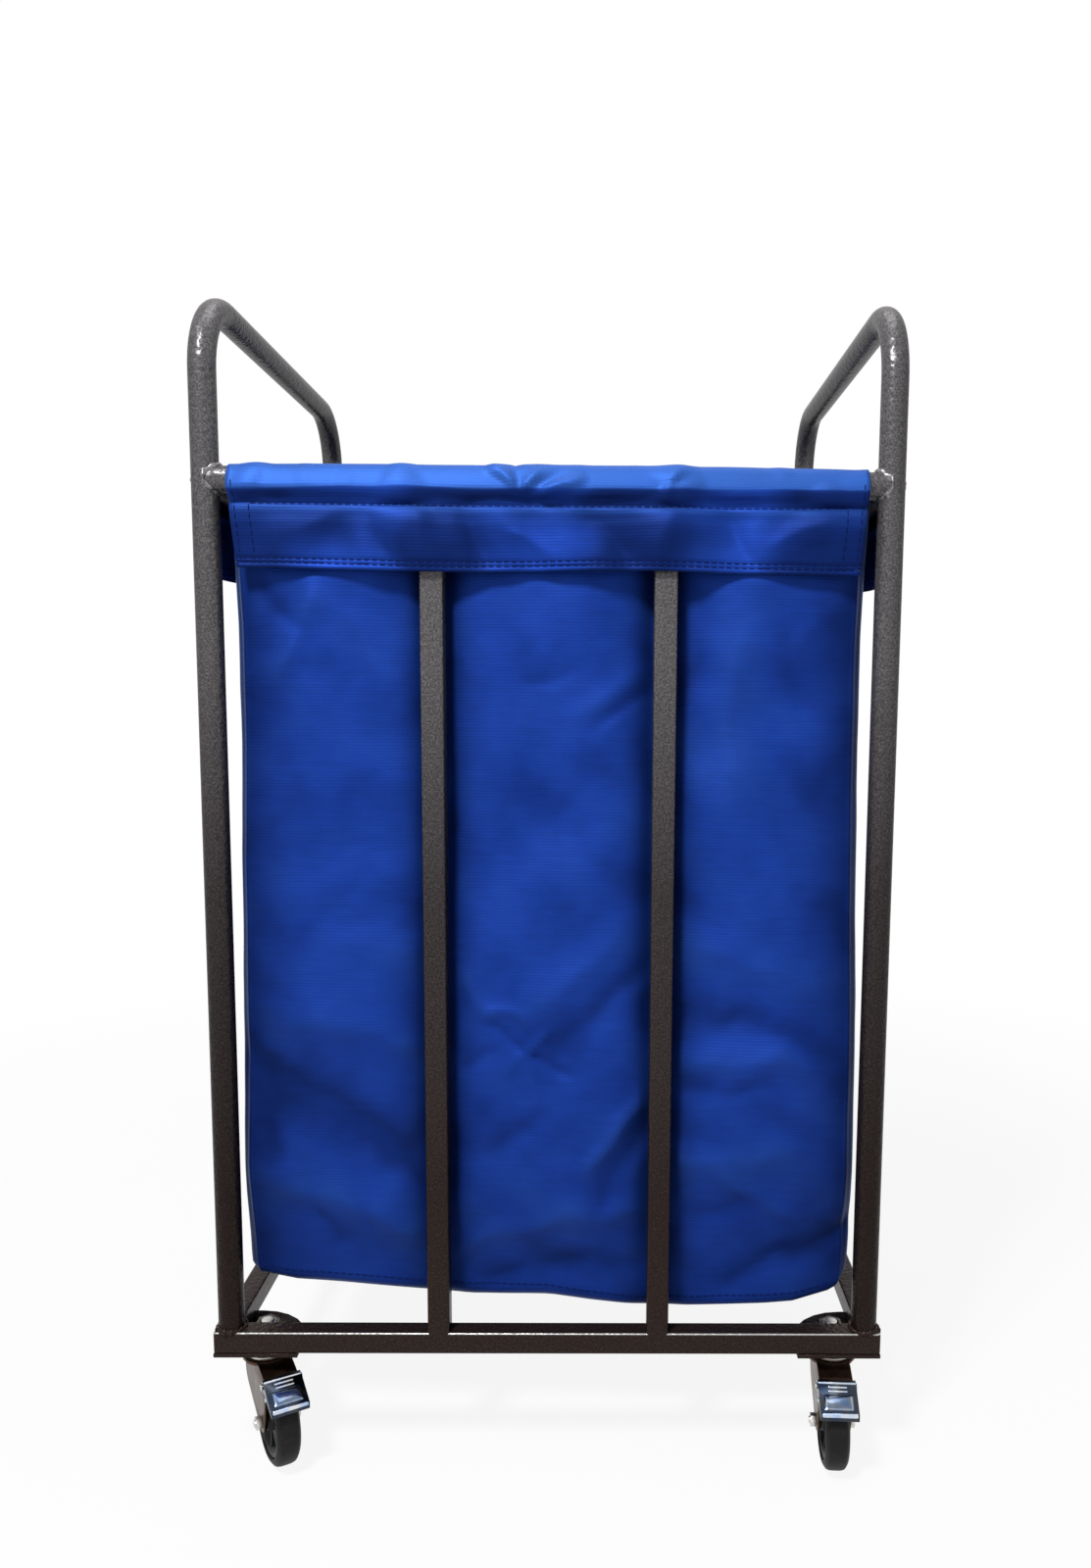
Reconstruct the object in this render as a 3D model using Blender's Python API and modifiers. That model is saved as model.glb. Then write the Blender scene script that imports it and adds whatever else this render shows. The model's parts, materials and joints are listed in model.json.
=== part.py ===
# Laundry cart: a tube frame on four braked swivel casters, with a cloth bag hung inside it.
# Metres, +Z up. The floor is z = 0, the origin is under the middle, and the front faces -Y.

import math

import bmesh
import bpy
from mathutils import Matrix, Vector

# Driving dimensions of the frame
post_spacing = 0.557
post_depth = 0.450
handle_height = 0.145  # above the top tubes
bend_radius = 0.060
round_tube = 0.0222
round_wall = 0.0012
square_tube = 0.019
square_wall = 0.0012
square_corner = 0.002
base_overhang = 0.0024
top_tube_height = 0.852
bar_spacing = 0.191
plate_size = 0.073
plate_thickness = 0.0035
plate_round = 0.050
caster_inset = 0.037

# Driving dimensions of the bag
bag_bottom = 0.138
bag_cloth = 0.0012
bag_corner = 0.008
flap_drop = 0.072
flap_inset = 0.001
bag_clearance = 0.0005

# Driving dimensions of a caster
caster_height = 0.1035
trail = 0.0275
tyre_radius = 0.040
tyre_width = 0.021
tyre_depth = 0.0078
tread_chamfer = 0.003
side_step = 0.0012
tyre_side_gap = 0.00175
rim_depth = 0.0045
web_thickness = 0.006
hub_radius = 0.0085
hub_gap = 0.0004
axle_radius = 0.003
hex_nut_width = 0.010
axle_nut_height = 0.005
axle_head_height = 0.004
thread_end = 0.0012
stem_radius = 0.006
stem_nut_width = 0.019
stem_nut_height = 0.010
cup_radius = 0.019
cup_height = 0.0137
cup_shoulder = 0.004
kingpin_radius = 0.0055
kingpin_head_radius = 0.009
kingpin_head_height = 0.003
fork_sheet = 0.0025
crown_radius = 0.0225
crown_back = 0.024
crown_front = 0.024
fork_shoulder = 0.019
shoulder_round = 0.018
axle_margin = 0.009
pin_forward = 0.014
pin_drop = 0.0088
pin_margin = 0.0036
pin_radius = 0.002
pin_head_radius = 0.003
pin_head_height = 0.0012
pedal_sheet = 0.0014
pedal_side_gap = 0.0004
pedal_lift = 0.0008
pedal_reach = 0.028
pedal_fall = 0.0085
pedal_lip = 0.006
pedal_ear = 0.0045
pedal_back_share = 0.1
pedal_top_share = 0.6

# Clearances: the gap left between neighbouring pieces, how far a cutter runs past its work,
# and the distances within which points are taken as one
gap = 0.0003
overrun = 0.004
merge_distance = 0.00001
screw_merge_distance = 0.00005

# Facet counts
tube_bevel_resolution = 6
tube_sides = 16
cutter_sides = 24
bend_steps = 6
corner_steps = 2
wrap_steps = 8
plate_round_steps = 6
tyre_sides = 28
core_sides = 16
stem_sides = 16
small_sides = 12
hexagon_sides = 6
arc_steps = 5

# Swivel angles, in degrees about +Z from the wheel trailing towards -Y
swivel_angles = {
    "front_left": 31.0,
    "front_right": -3.0,
    "rear_left": 158.0,
    "rear_right": 183.0,
}

# Heights and places that follow from the sizes above
post_x = post_spacing / 2
post_y = post_depth / 2
tube_radius = round_tube / 2
plate_top = caster_height + plate_thickness
rail_bottom = plate_top + gap
rail_top = rail_bottom + square_tube
base_x = post_x + tube_radius + base_overhang
base_y = post_y + tube_radius
rail_x = base_x - square_tube / 2
rail_y = base_y - square_tube / 2
rail_middle = rail_bottom + square_tube / 2
bar_bottom = rail_top + gap
bar_x = post_x + tube_radius - square_tube / 2
bar_y = post_y + tube_radius - square_tube / 2
caster_x = base_x - caster_inset
caster_y = base_y - caster_inset

# Caster widths
rim_width = tyre_width - 2 * side_step
fork_inside = tyre_width + 2 * tyre_side_gap
fork_half = fork_inside / 2 + fork_sheet
hub_length = fork_inside - 2 * hub_gap
ear_inside = fork_half + pedal_side_gap
ear_outside = ear_inside + pedal_sheet

# Caster levels, measured from the corner plate's underside
axle_height = tyre_radius * math.cos(math.pi / tyre_sides)
axle_level = axle_height - caster_height
cup_bottom = -gap - cup_height
crown_top = cup_bottom - gap
crown_bottom = crown_top - fork_sheet
pin_y = -trail - pin_forward
pin_level = crown_top - pin_drop
pedal_rise = pin_margin + pedal_lift + pedal_sheet


def clear_scene():
    for old in list(bpy.data.objects):
        bpy.data.objects.remove(old, do_unlink=True)


def new_collection(name):
    collection = bpy.data.collections.new(name)
    bpy.context.scene.collection.children.link(collection)
    return collection


def new_material(name, colour, roughness, metallic):
    material = bpy.data.materials.new(name)
    material.use_nodes = True
    shader = material.node_tree.nodes["Principled BSDF"]
    shader.inputs["Base Color"].default_value = (*colour, 1.0)
    shader.inputs["Roughness"].default_value = roughness
    shader.inputs["Metallic"].default_value = metallic
    return material


def finish_shading(mesh):
    mesh.shade_smooth()
    mesh.set_sharp_from_angle(angle=math.radians(35))


def add_piece(name, mesh, material_values, parent=None):
    piece = bpy.data.objects.new(name, mesh)
    cart_collection.objects.link(piece)
    piece.parent = parent
    if not mesh.materials:
        mesh.materials.append(new_material(name, *material_values))
    finish_shading(mesh)
    return piece


def add_cutter(name, mesh, matrix=None):
    cutter = bpy.data.objects.new(name, mesh)
    cutter_collection.objects.link(cutter)
    cutter.hide_render = True
    cutter.display_type = "WIRE"
    if matrix is not None:
        cutter.matrix_world = matrix
    return cutter


def mesh_from_bmesh(name, shape):
    mesh = bpy.data.meshes.new(name)
    shape.to_mesh(mesh)
    shape.free()
    return mesh


def box_mesh(name, size_x, size_y, size_z, centre=(0, 0, 0)):
    shape = bmesh.new()
    bmesh.ops.create_cube(shape, size=1.0)
    bmesh.ops.scale(shape, vec=(size_x, size_y, size_z), verts=shape.verts)
    bmesh.ops.translate(shape, vec=centre, verts=shape.verts)
    return mesh_from_bmesh(name, shape)


# Turns that lay a shape made along Z along another axis
lay_along = {
    "X": Matrix.Rotation(math.pi / 2, 4, "Y"),
    "Y": Matrix.Rotation(math.pi / 2, 4, "X"),
    "Z": Matrix.Identity(4),
}


def cylinder_mesh(name, radius, length, sides, axis="Z", centre=(0, 0, 0)):
    shape = bmesh.new()
    bmesh.ops.create_cone(
        shape, cap_ends=True, segments=sides, radius1=radius, radius2=radius, depth=length
    )
    bmesh.ops.transform(shape, matrix=lay_along[axis], verts=shape.verts)
    bmesh.ops.translate(shape, vec=centre, verts=shape.verts)
    return mesh_from_bmesh(name, shape)


# The radius of a cutting polygon whose flats stay the gap away from a round of this radius
def clear_radius(radius, sides=cutter_sides):
    return (radius + gap) / math.cos(math.pi / sides)


def add_boolean(piece, cutter, operation="DIFFERENCE"):
    cut = piece.modifiers.new(cutter.name, "BOOLEAN")
    cut.operation = operation
    cut.solver = "EXACT"
    cut.object = cutter


def add_shell(piece, thickness):
    shell = piece.modifiers.new("wall", "SOLIDIFY")
    shell.thickness = thickness
    shell.offset = -1
    shell.use_even_offset = True


# The piece's mesh with its modifiers applied, after which the working object goes
def baked_mesh(piece, name):
    bpy.context.view_layer.update()
    depsgraph = bpy.context.evaluated_depsgraph_get()
    mesh = bpy.data.meshes.new_from_object(piece.evaluated_get(depsgraph))
    mesh.name = name
    bpy.data.objects.remove(piece, do_unlink=True)
    return mesh


def remove_cutters(cutters):
    for cutter in cutters:
        bpy.data.objects.remove(cutter, do_unlink=True)


# A flat outline in the YZ plane, given as (y, z) points, thickened along X between two planes
def outline_mesh(name, points, x_low, x_high):
    curve = bpy.data.curves.new(name, "CURVE")
    curve.dimensions = "2D"
    curve.fill_mode = "BOTH"
    curve.extrude = (x_high - x_low) / 2
    spline = curve.splines.new("POLY")
    spline.points.add(len(points) - 1)
    for point, (y, z) in zip(spline.points, points):
        point.co = (y, z, 0, 1)
    spline.use_cyclic_u = True
    outline = bpy.data.objects.new(name, curve)
    cutter_collection.objects.link(outline)
    mesh = baked_mesh(outline, name)
    shape = bmesh.new()
    shape.from_mesh(mesh)
    bmesh.ops.remove_doubles(shape, verts=shape.verts, dist=merge_distance)
    turn_to_side = Matrix(((0, 0, 1), (1, 0, 0), (0, 1, 0)))
    bmesh.ops.transform(shape, matrix=turn_to_side.to_4x4(), verts=shape.verts)
    bmesh.ops.translate(shape, vec=((x_high + x_low) / 2, 0, 0), verts=shape.verts)
    bmesh.ops.recalc_face_normals(shape, faces=shape.faces)
    shape.to_mesh(mesh)
    shape.free()
    return mesh


def arc_points(centre, radius, start, end, steps):
    points = []
    for step in range(steps + 1):
        angle = start + (end - start) * step / steps
        points.append((centre[0] + radius * math.cos(angle), centre[1] + radius * math.sin(angle)))
    return points


# A turned shape from (radius, height) points, outer side from top to bottom
def turned_mesh(name, profile, sides, closed, axis="Z", turn=0.0):
    shape = bmesh.new()
    verts = [shape.verts.new((radius, 0, height)) for radius, height in profile]
    for first, second in zip(verts, verts[1:]):
        shape.edges.new((first, second))
    if closed:
        shape.edges.new((verts[-1], verts[0]))
    mesh = mesh_from_bmesh(name, shape)
    blank = bpy.data.objects.new(name, mesh)
    cutter_collection.objects.link(blank)
    screw = blank.modifiers.new("turn", "SCREW")
    screw.axis = "Z"
    screw.steps = sides
    screw.render_steps = sides
    screw.use_merge_vertices = True
    screw.merge_threshold = screw_merge_distance
    mesh = baked_mesh(blank, name)
    mesh.transform(Matrix.Rotation(turn, 4, "Z"))
    mesh.transform(lay_along[axis])
    return mesh


# A square tube along one axis, open at both ends, with rounded corners
def square_tube_mesh(name, length, axis):
    shape = bmesh.new()
    bmesh.ops.create_cube(shape, size=1.0)
    scale = [square_tube, square_tube, square_tube]
    index = "XYZ".index(axis)
    scale[index] = length
    bmesh.ops.scale(shape, vec=scale, verts=shape.verts)
    ends = [face for face in shape.faces if abs(face.normal[index]) > 0.5]
    bmesh.ops.delete(shape, geom=ends, context="FACES_ONLY")
    long_edges = [
        edge
        for edge in shape.edges
        if abs((edge.verts[0].co - edge.verts[1].co)[index]) > length / 2
    ]
    bmesh.ops.bevel(
        shape, geom=long_edges, offset=square_corner, segments=corner_steps, affect="EDGES", profile=0.5
    )
    return mesh_from_bmesh(name, shape)


def add_round_tube(name, length, axis, centre):
    shape = bmesh.new()
    bmesh.ops.create_cone(
        shape, cap_ends=False, segments=tube_sides, radius1=tube_radius, radius2=tube_radius, depth=length
    )
    bmesh.ops.transform(shape, matrix=lay_along[axis], verts=shape.verts)
    tube = add_piece(name, mesh_from_bmesh(name, shape), paint)
    tube.location = centre
    add_shell(tube, round_wall)
    return tube


# Each side's hoop: front post, bend, handle, bend and rear post in one bent tube
def hoop_points():
    foot = rail_top + gap
    bend_level = top_tube_height + handle_height - bend_radius
    front_bend = (-post_y + bend_radius, bend_level)
    rear_bend = (post_y - bend_radius, bend_level)
    points = [(-post_y, foot)]
    points += arc_points(front_bend, bend_radius, math.pi, math.pi / 2, bend_steps)
    points += arc_points(rear_bend, bend_radius, math.pi / 2, 0, bend_steps)
    points.append((post_y, foot))
    return points


def add_hoop(name, x):
    points = hoop_points()
    curve = bpy.data.curves.new(name, "CURVE")
    curve.dimensions = "3D"
    curve.bevel_depth = tube_radius
    curve.bevel_resolution = tube_bevel_resolution
    spline = curve.splines.new("POLY")
    spline.points.add(len(points) - 1)
    for point, (y, z) in zip(spline.points, points):
        point.co = (0, y, z, 1)
    path = bpy.data.objects.new(name + "_path", curve)
    cutter_collection.objects.link(path)
    mesh = baked_mesh(path, name)
    shape = bmesh.new()
    shape.from_mesh(mesh)
    bmesh.ops.remove_doubles(shape, verts=shape.verts, dist=merge_distance)
    shape.to_mesh(mesh)
    shape.free()
    hoop = add_piece(name, mesh, paint)
    hoop.location.x = x
    add_shell(hoop, round_wall)


def add_top_tubes():
    post_cutters = {}
    cutter_height = round_tube + 2 * overrun
    for side, x in (("left", -post_x), ("right", post_x)):
        for end, y in (("front", -post_y), ("rear", post_y)):
            centre = (x, y, top_tube_height)
            hole = clear_radius(tube_radius)
            mesh = cylinder_mesh("post", hole, cutter_height, cutter_sides, centre=centre)
            post_cutters[end, side] = add_cutter("cut_post_%s_%s" % (end, side), mesh)
    for end, y in (("front", -post_y), ("rear", post_y)):
        tube = add_round_tube(end + "_top_tube", post_spacing, "X", (0, y, top_tube_height))
        add_boolean(tube, post_cutters[end, "left"])
        add_boolean(tube, post_cutters[end, "right"])
    for side, x in (("left", -post_x), ("right", post_x)):
        tube = add_round_tube(side + "_top_tube", post_depth, "Y", (x, 0, top_tube_height))
        for end in ("front", "rear"):
            add_boolean(tube, post_cutters[end, side])
            add_boolean(tube, tube_cutters[end])


# Cutters along the four top tubes, which shape what butts against them
def add_tube_cutters():
    cutters = {}
    for end, y in (("front", -post_y), ("rear", post_y)):
        centre = (0, y, top_tube_height)
        mesh = cylinder_mesh(end, clear_radius(tube_radius), post_spacing, cutter_sides, "X", centre=centre)
        cutters[end] = add_cutter("cut_%s_tube" % end, mesh)
    for side, x in (("left", -post_x), ("right", post_x)):
        centre = (x, 0, top_tube_height)
        mesh = cylinder_mesh(side, clear_radius(tube_radius), post_depth, cutter_sides, "Y", centre=centre)
        cutters[side] = add_cutter("cut_%s_tube" % side, mesh)
    return cutters


# The bottom frame's four rails, mitred at the corners
def add_bottom_rails():
    rails = {}
    for end, sign in (("front", -1), ("rear", 1)):
        mesh = square_tube_mesh(end + "_bottom_rail", 2 * base_x, "X")
        rails[end] = add_piece(end + "_bottom_rail", mesh, paint)
        rails[end].location = (0, sign * rail_y, rail_middle)
        add_shell(rails[end], square_wall)
    for side, sign in (("left", -1), ("right", 1)):
        mesh = square_tube_mesh(side + "_bottom_rail", 2 * base_y, "Y")
        rails[side] = add_piece(side + "_bottom_rail", mesh, paint)
        rails[side].location = (sign * rail_x, 0, rail_middle)
        add_shell(rails[side], square_wall)
    block = 3 * square_tube
    reach = block / 2 - gap / 2
    for end, sign_y in (("front", -1), ("rear", 1)):
        for side, sign_x in (("left", -1), ("right", 1)):
            corner = Vector((sign_x * rail_x, sign_y * rail_y, rail_middle))
            across = Vector((sign_x, -sign_y, 0)).normalized()
            for rail, direction in ((end, across), (side, -across)):
                name = "mitre_%s_%s_%s" % (end, side, rail)
                diagonal = Matrix.Rotation(math.pi / 4, 4, "Z")
                place = Matrix.Translation(corner + direction * reach) @ diagonal
                cutter = add_cutter(name, box_mesh(name, block, block, block), place)
                add_boolean(rails[rail], cutter)


# Upright square bars between the bottom rails and the top tubes
def add_bars():
    length = top_tube_height - bar_bottom
    middle = (top_tube_height + bar_bottom) / 2
    places = []
    for end, y in (("front", -bar_y), ("rear", bar_y)):
        places.append((end + "_left_bar", -bar_spacing / 2, y, end))
        places.append((end + "_right_bar", bar_spacing / 2, y, end))
    places.append(("left_side_bar", -bar_x, 0, "left"))
    places.append(("right_side_bar", bar_x, 0, "right"))
    for name, x, y, tube in places:
        bar = add_piece(name, square_tube_mesh(name, length, "Z"), paint)
        bar.location = (x, y, middle)
        add_shell(bar, square_wall)
        add_boolean(bar, tube_cutters[tube])


# A corner plate in its own quarter: outer corner square, inner corner rounded, stem hole cut
def plate_mesh():
    far = caster_inset - plate_size
    round_centre = (far + plate_round, far + plate_round)
    points = [(caster_inset, caster_inset), (far, caster_inset)]
    points += arc_points(round_centre, plate_round, math.pi, 1.5 * math.pi, plate_round_steps)
    points.append((caster_inset, far))
    mesh = outline_mesh("corner_plate", points, 0, plate_thickness)
    turn_flat = Matrix(((0, 1, 0), (0, 0, 1), (1, 0, 0)))
    mesh.transform(turn_flat.to_4x4())
    plate = bpy.data.objects.new("corner_plate", mesh)
    cutter_collection.objects.link(plate)
    hole_length = 2 * (plate_thickness + overrun)
    hole_shape = cylinder_mesh("stem_hole", clear_radius(stem_radius), hole_length, cutter_sides)
    hole = add_cutter("stem_hole", hole_shape)
    add_boolean(plate, hole)
    mesh = baked_mesh(plate, "corner_plate")
    remove_cutters([hole])
    return mesh


def hex_nut_mesh(name, width, height, thread_radius, axis):
    corner_radius = width / 2 / math.cos(math.pi / hexagon_sides)
    blank = bpy.data.objects.new(name, cylinder_mesh(name, corner_radius, height, hexagon_sides, axis))
    cutter_collection.objects.link(blank)
    bore = clear_radius(thread_radius, tube_sides)
    hole = add_cutter(name + "_hole", cylinder_mesh(name, bore, height + 2 * overrun, tube_sides, axis))
    add_boolean(blank, hole)
    mesh = baked_mesh(blank, name)
    remove_cutters([hole])
    return mesh


# Threaded stem, bearing cup and kingpin, turned in one piece
def stem_mesh():
    top = plate_thickness + gap + stem_nut_height + thread_end
    head_top = crown_bottom - gap
    head_bottom = head_top - kingpin_head_height
    profile = [
        (0, top),
        (stem_radius, top),
        (stem_radius, -gap),
        (cup_radius - cup_shoulder, -gap),
        (cup_radius, -gap - cup_shoulder),
        (cup_radius, cup_bottom),
        (kingpin_radius, cup_bottom),
        (kingpin_radius, head_top),
        (kingpin_head_radius, head_top),
        (kingpin_head_radius, head_bottom),
        (0, head_bottom),
    ]
    return turned_mesh("stem", profile, stem_sides, closed=False)


# The angle at which a line from a point leaves a circle on its upper side
def tangent_angle(point, centre, radius):
    run = point[0] - centre[0]
    rise = point[1] - centre[1]
    return math.atan2(rise, run) + math.acos(radius / math.hypot(run, rise))


# One leg from the side: crown, sloping brow, round about the pin, round about the axle, shoulder
def fork_outline():
    pin = (pin_y, pin_level)
    axle = (-trail, axle_level)
    brow = (-crown_front, crown_top)
    shoulder = (crown_back - shoulder_round, crown_top - fork_shoulder)
    run = shoulder[0] - axle[0]
    rise = shoulder[1] - axle[1]
    narrowing = (axle_margin - shoulder_round) / math.hypot(run, rise)
    leave_angle = math.atan2(rise, run) - math.acos(narrowing)
    points = [(crown_back, crown_top), brow]
    points += arc_points(pin, pin_margin, tangent_angle(brow, pin, pin_margin), math.pi, arc_steps)
    points += arc_points(axle, axle_margin, math.pi, 2 * math.pi + leave_angle, arc_steps)
    points += arc_points(shoulder, shoulder_round, leave_angle, 0, arc_steps)
    return points


# The space between the legs, which leaves the crown and its brow standing
def slot_outline():
    pin = (pin_y, pin_level)
    slope = tangent_angle((-crown_front, crown_top), pin, pin_margin) - math.pi / 2
    brow_end = pin_y + pin_radius + pin_margin / 2
    drop = (-crown_front - brow_end) * math.tan(slope)
    back = crown_back + overrun
    front = pin_y - trail
    top = crown_top + overrun
    floor = axle_level - axle_margin - overrun
    return [
        (back, crown_bottom),
        (-crown_front, crown_bottom),
        (brow_end, crown_bottom - drop),
        (brow_end, top),
        (front, top),
        (front, floor),
        (back, floor),
    ]


# The fork: two legs and a crown pressed from one sheet, with holes for the kingpin, axle and pin
def fork_mesh():
    mesh = outline_mesh("fork", fork_outline(), -fork_half, fork_half)
    fork = bpy.data.objects.new("fork", mesh)
    cutter_collection.objects.link(fork)
    slot = add_cutter("slot", outline_mesh("slot", slot_outline(), -fork_inside / 2, fork_inside / 2))
    disc_centre = (0, 0, (crown_top + crown_bottom) / 2)
    disc_shape = cylinder_mesh("crown", crown_radius, fork_sheet, stem_sides, centre=disc_centre)
    disc = add_cutter("crown", disc_shape)
    through = 2 * (fork_half + overrun)
    king = add_cutter("king", cylinder_mesh("king", clear_radius(kingpin_radius), through, cutter_sides))
    axle_place = (0, -trail, axle_level)
    axle_bore = clear_radius(axle_radius, tube_sides)
    axle = cylinder_mesh("axle", axle_bore, through, tube_sides, "X", centre=axle_place)
    axle_hole = add_cutter("axle", axle)
    pin_place = (0, pin_y, pin_level)
    pin_bore = clear_radius(pin_radius, small_sides)
    pin = cylinder_mesh("pin", pin_bore, through, small_sides, "X", centre=pin_place)
    pin_hole = add_cutter("pin", pin)
    add_boolean(fork, slot)
    add_boolean(fork, disc, "UNION")
    for cutter in (king, axle_hole, pin_hole):
        add_boolean(fork, cutter)
    mesh = baked_mesh(fork, "fork")
    remove_cutters([slot, disc, king, axle_hole, pin_hole])
    return mesh


# Wheel pieces are turned about their own axle, along X
def tyre_mesh():
    inner = tyre_radius - tyre_depth
    half = tyre_width / 2
    wall_radius = tyre_radius - tread_chamfer - side_step
    profile = [
        (tyre_radius, tread_chamfer - half),
        (tyre_radius, half - tread_chamfer),
        (tyre_radius - tread_chamfer, half - side_step),
        (wall_radius, half),
        (inner, half),
        (inner, -half),
        (wall_radius, -half),
        (tyre_radius - tread_chamfer, side_step - half),
    ]
    profile.reverse()
    return turned_mesh("tyre", profile, tyre_sides, closed=True, axis="X", turn=math.pi / tyre_sides)


def core_mesh():
    rim_outer = (tyre_radius - tyre_depth) * math.cos(math.pi / tyre_sides) - gap
    rim_inner = rim_outer - rim_depth
    bore = clear_radius(axle_radius, core_sides)
    half_rim = rim_width / 2
    half_web = web_thickness / 2
    half_hub = hub_length / 2
    profile = [
        (rim_outer, half_rim),
        (rim_outer, -half_rim),
        (rim_inner, -half_rim),
        (rim_inner - rim_depth / 2, -half_web),
        (hub_radius, -half_web),
        (hub_radius, -half_hub),
        (bore, -half_hub),
        (bore, half_hub),
        (hub_radius, half_hub),
        (hub_radius, half_web),
        (rim_inner - rim_depth / 2, half_web),
        (rim_inner, half_rim),
    ]
    return turned_mesh("wheel_core", profile, core_sides, closed=True, axis="X")


# Axle bolt with its hexagon head on +X, the shank running out past the nut
def axle_bolt_mesh():
    start = fork_half + gap
    end = -(fork_half + gap + axle_nut_height + thread_end)
    shank_length = start + axle_head_height / 2 - end
    shank_place = (end + shank_length / 2, 0, 0)
    bolt_shank = cylinder_mesh("axle_bolt", axle_radius, shank_length, tube_sides, "X", centre=shank_place)
    bolt = bpy.data.objects.new("axle_bolt", bolt_shank)
    cutter_collection.objects.link(bolt)
    head_radius = hex_nut_width / 2 / math.cos(math.pi / hexagon_sides)
    head_place = (start + axle_head_height / 2, 0, 0)
    head_shape = cylinder_mesh("head", head_radius, axle_head_height, hexagon_sides, "X", centre=head_place)
    head = add_cutter("head", head_shape)
    add_boolean(bolt, head, "UNION")
    mesh = baked_mesh(bolt, "axle_bolt")
    remove_cutters([head])
    return mesh


# The brake pedal's pin, headed at both ends outside the pedal's ears
def brake_pin_mesh():
    under_head = ear_outside + gap
    end = under_head + pin_head_height
    profile = [
        (0, end),
        (pin_head_radius, end),
        (pin_head_radius, under_head),
        (pin_radius, under_head),
        (pin_radius, -under_head),
        (pin_head_radius, -under_head),
        (pin_head_radius, -end),
        (0, -end),
    ]
    return turned_mesh("brake_pin", profile, small_sides, closed=False, axis="X")


# The pedal's sheet seen from the side, as (y, z) points from its pin: back edge, top, face and lip
def pedal_profile():
    crest = (-pedal_rise * pedal_top_share, pedal_rise)
    toe = (-pedal_reach, -pedal_fall)
    slope = math.atan2(toe[1] - crest[1], toe[0] - crest[0])
    lip_angle = slope + math.pi / 3
    lip = (toe[0] + pedal_lip * math.cos(lip_angle), toe[1] + pedal_lip * math.sin(lip_angle))
    back = (pedal_rise * pedal_back_share, pedal_rise)
    return [back, crest, toe, lip]


def sheet_mesh(name, points, half_width, thickness):
    shape = bmesh.new()
    left = [shape.verts.new((-half_width, y, z)) for y, z in points]
    edges = [shape.edges.new(pair) for pair in zip(left, left[1:])]
    swept = bmesh.ops.extrude_edge_only(shape, edges=edges)
    moved = [item for item in swept["geom"] if isinstance(item, bmesh.types.BMVert)]
    bmesh.ops.translate(shape, vec=(2 * half_width, 0, 0), verts=moved)
    shape.normal_update()
    upward = sum(face.normal.z for face in shape.faces)
    if upward < 0:
        bmesh.ops.reverse_faces(shape, faces=shape.faces)
    mesh = mesh_from_bmesh(name, shape)
    sheet = bpy.data.objects.new(name, mesh)
    cutter_collection.objects.link(sheet)
    add_shell(sheet, thickness)
    return baked_mesh(sheet, name)


def pedal_mesh():
    profile = pedal_profile()
    back, crest, toe, lip = profile
    blank = sheet_mesh("pedal", profile, (ear_inside + ear_outside) / 2, pedal_sheet)
    pedal = bpy.data.objects.new("pedal", blank)
    cutter_collection.objects.link(pedal)
    ear_points = [crest, toe, lip]
    ear_points += arc_points((0, 0), pedal_ear, -0.75 * math.pi, 0, arc_steps)
    ear_points.append(back)
    parts = []
    for side in (-1, 1):
        low, high = sorted((side * ear_inside, side * ear_outside))
        parts.append(add_cutter("ear", outline_mesh("ear", ear_points, low, high)))
    for ear in parts:
        add_boolean(pedal, ear, "UNION")
    through = 2 * (ear_outside + overrun)
    pin = cylinder_mesh("pin", clear_radius(pin_radius, small_sides), through, small_sides, "X")
    parts.append(add_cutter("pin", pin))
    add_boolean(pedal, parts[-1])
    mesh = baked_mesh(pedal, "pedal")
    remove_cutters(parts)
    return mesh


# One caster. Its signs say which corner it stands at, and its plate is turned to fit there
def add_caster(corner, sign_x, sign_y, meshes):
    place = Vector((sign_x * caster_x, sign_y * caster_y, caster_height))
    plate = add_piece(corner + "_plate", meshes["plate"].copy(), paint)
    plate.location = place
    plate.rotation_euler.z = math.atan2(sign_y, sign_x) - math.atan2(1, 1)
    stem = add_piece(corner + "_stem", meshes["stem"].copy(), zinc)
    stem.location = place
    nut = add_piece(corner + "_stem_nut", meshes["stem_nut"].copy(), zinc)
    nut.location = place + Vector((0, 0, plate_thickness + gap + stem_nut_height / 2))

    swivel = bpy.data.objects.new(corner + "_swivel_axis", None)
    cart_collection.objects.link(swivel)
    swivel.location = place
    swivel.rotation_euler.z = math.radians(swivel_angles[corner])
    add_piece(corner + "_fork", meshes["fork"].copy(), fork_zinc, swivel)

    axle = bpy.data.objects.new(corner + "_axle_axis", None)
    cart_collection.objects.link(axle)
    axle.parent = swivel
    axle.location = (0, -trail, axle_level)
    add_piece(corner + "_axle_bolt", meshes["axle_bolt"].copy(), zinc, axle)
    axle_nut = add_piece(corner + "_axle_nut", meshes["axle_nut"].copy(), zinc, axle)
    axle_nut.location.x = -(fork_half + gap + axle_nut_height / 2)
    add_piece(corner + "_wheel_core", meshes["core"].copy(), core_plastic, axle)
    add_piece(corner + "_tyre", meshes["tyre"].copy(), rubber, axle)

    brake = bpy.data.objects.new(corner + "_brake_axis", None)
    cart_collection.objects.link(brake)
    brake.parent = swivel
    brake.location = (0, pin_y, pin_level)
    add_piece(corner + "_brake_pin", meshes["brake_pin"].copy(), zinc, brake)
    add_piece(corner + "_brake_pedal", meshes["pedal"].copy(), chrome, brake)


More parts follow.
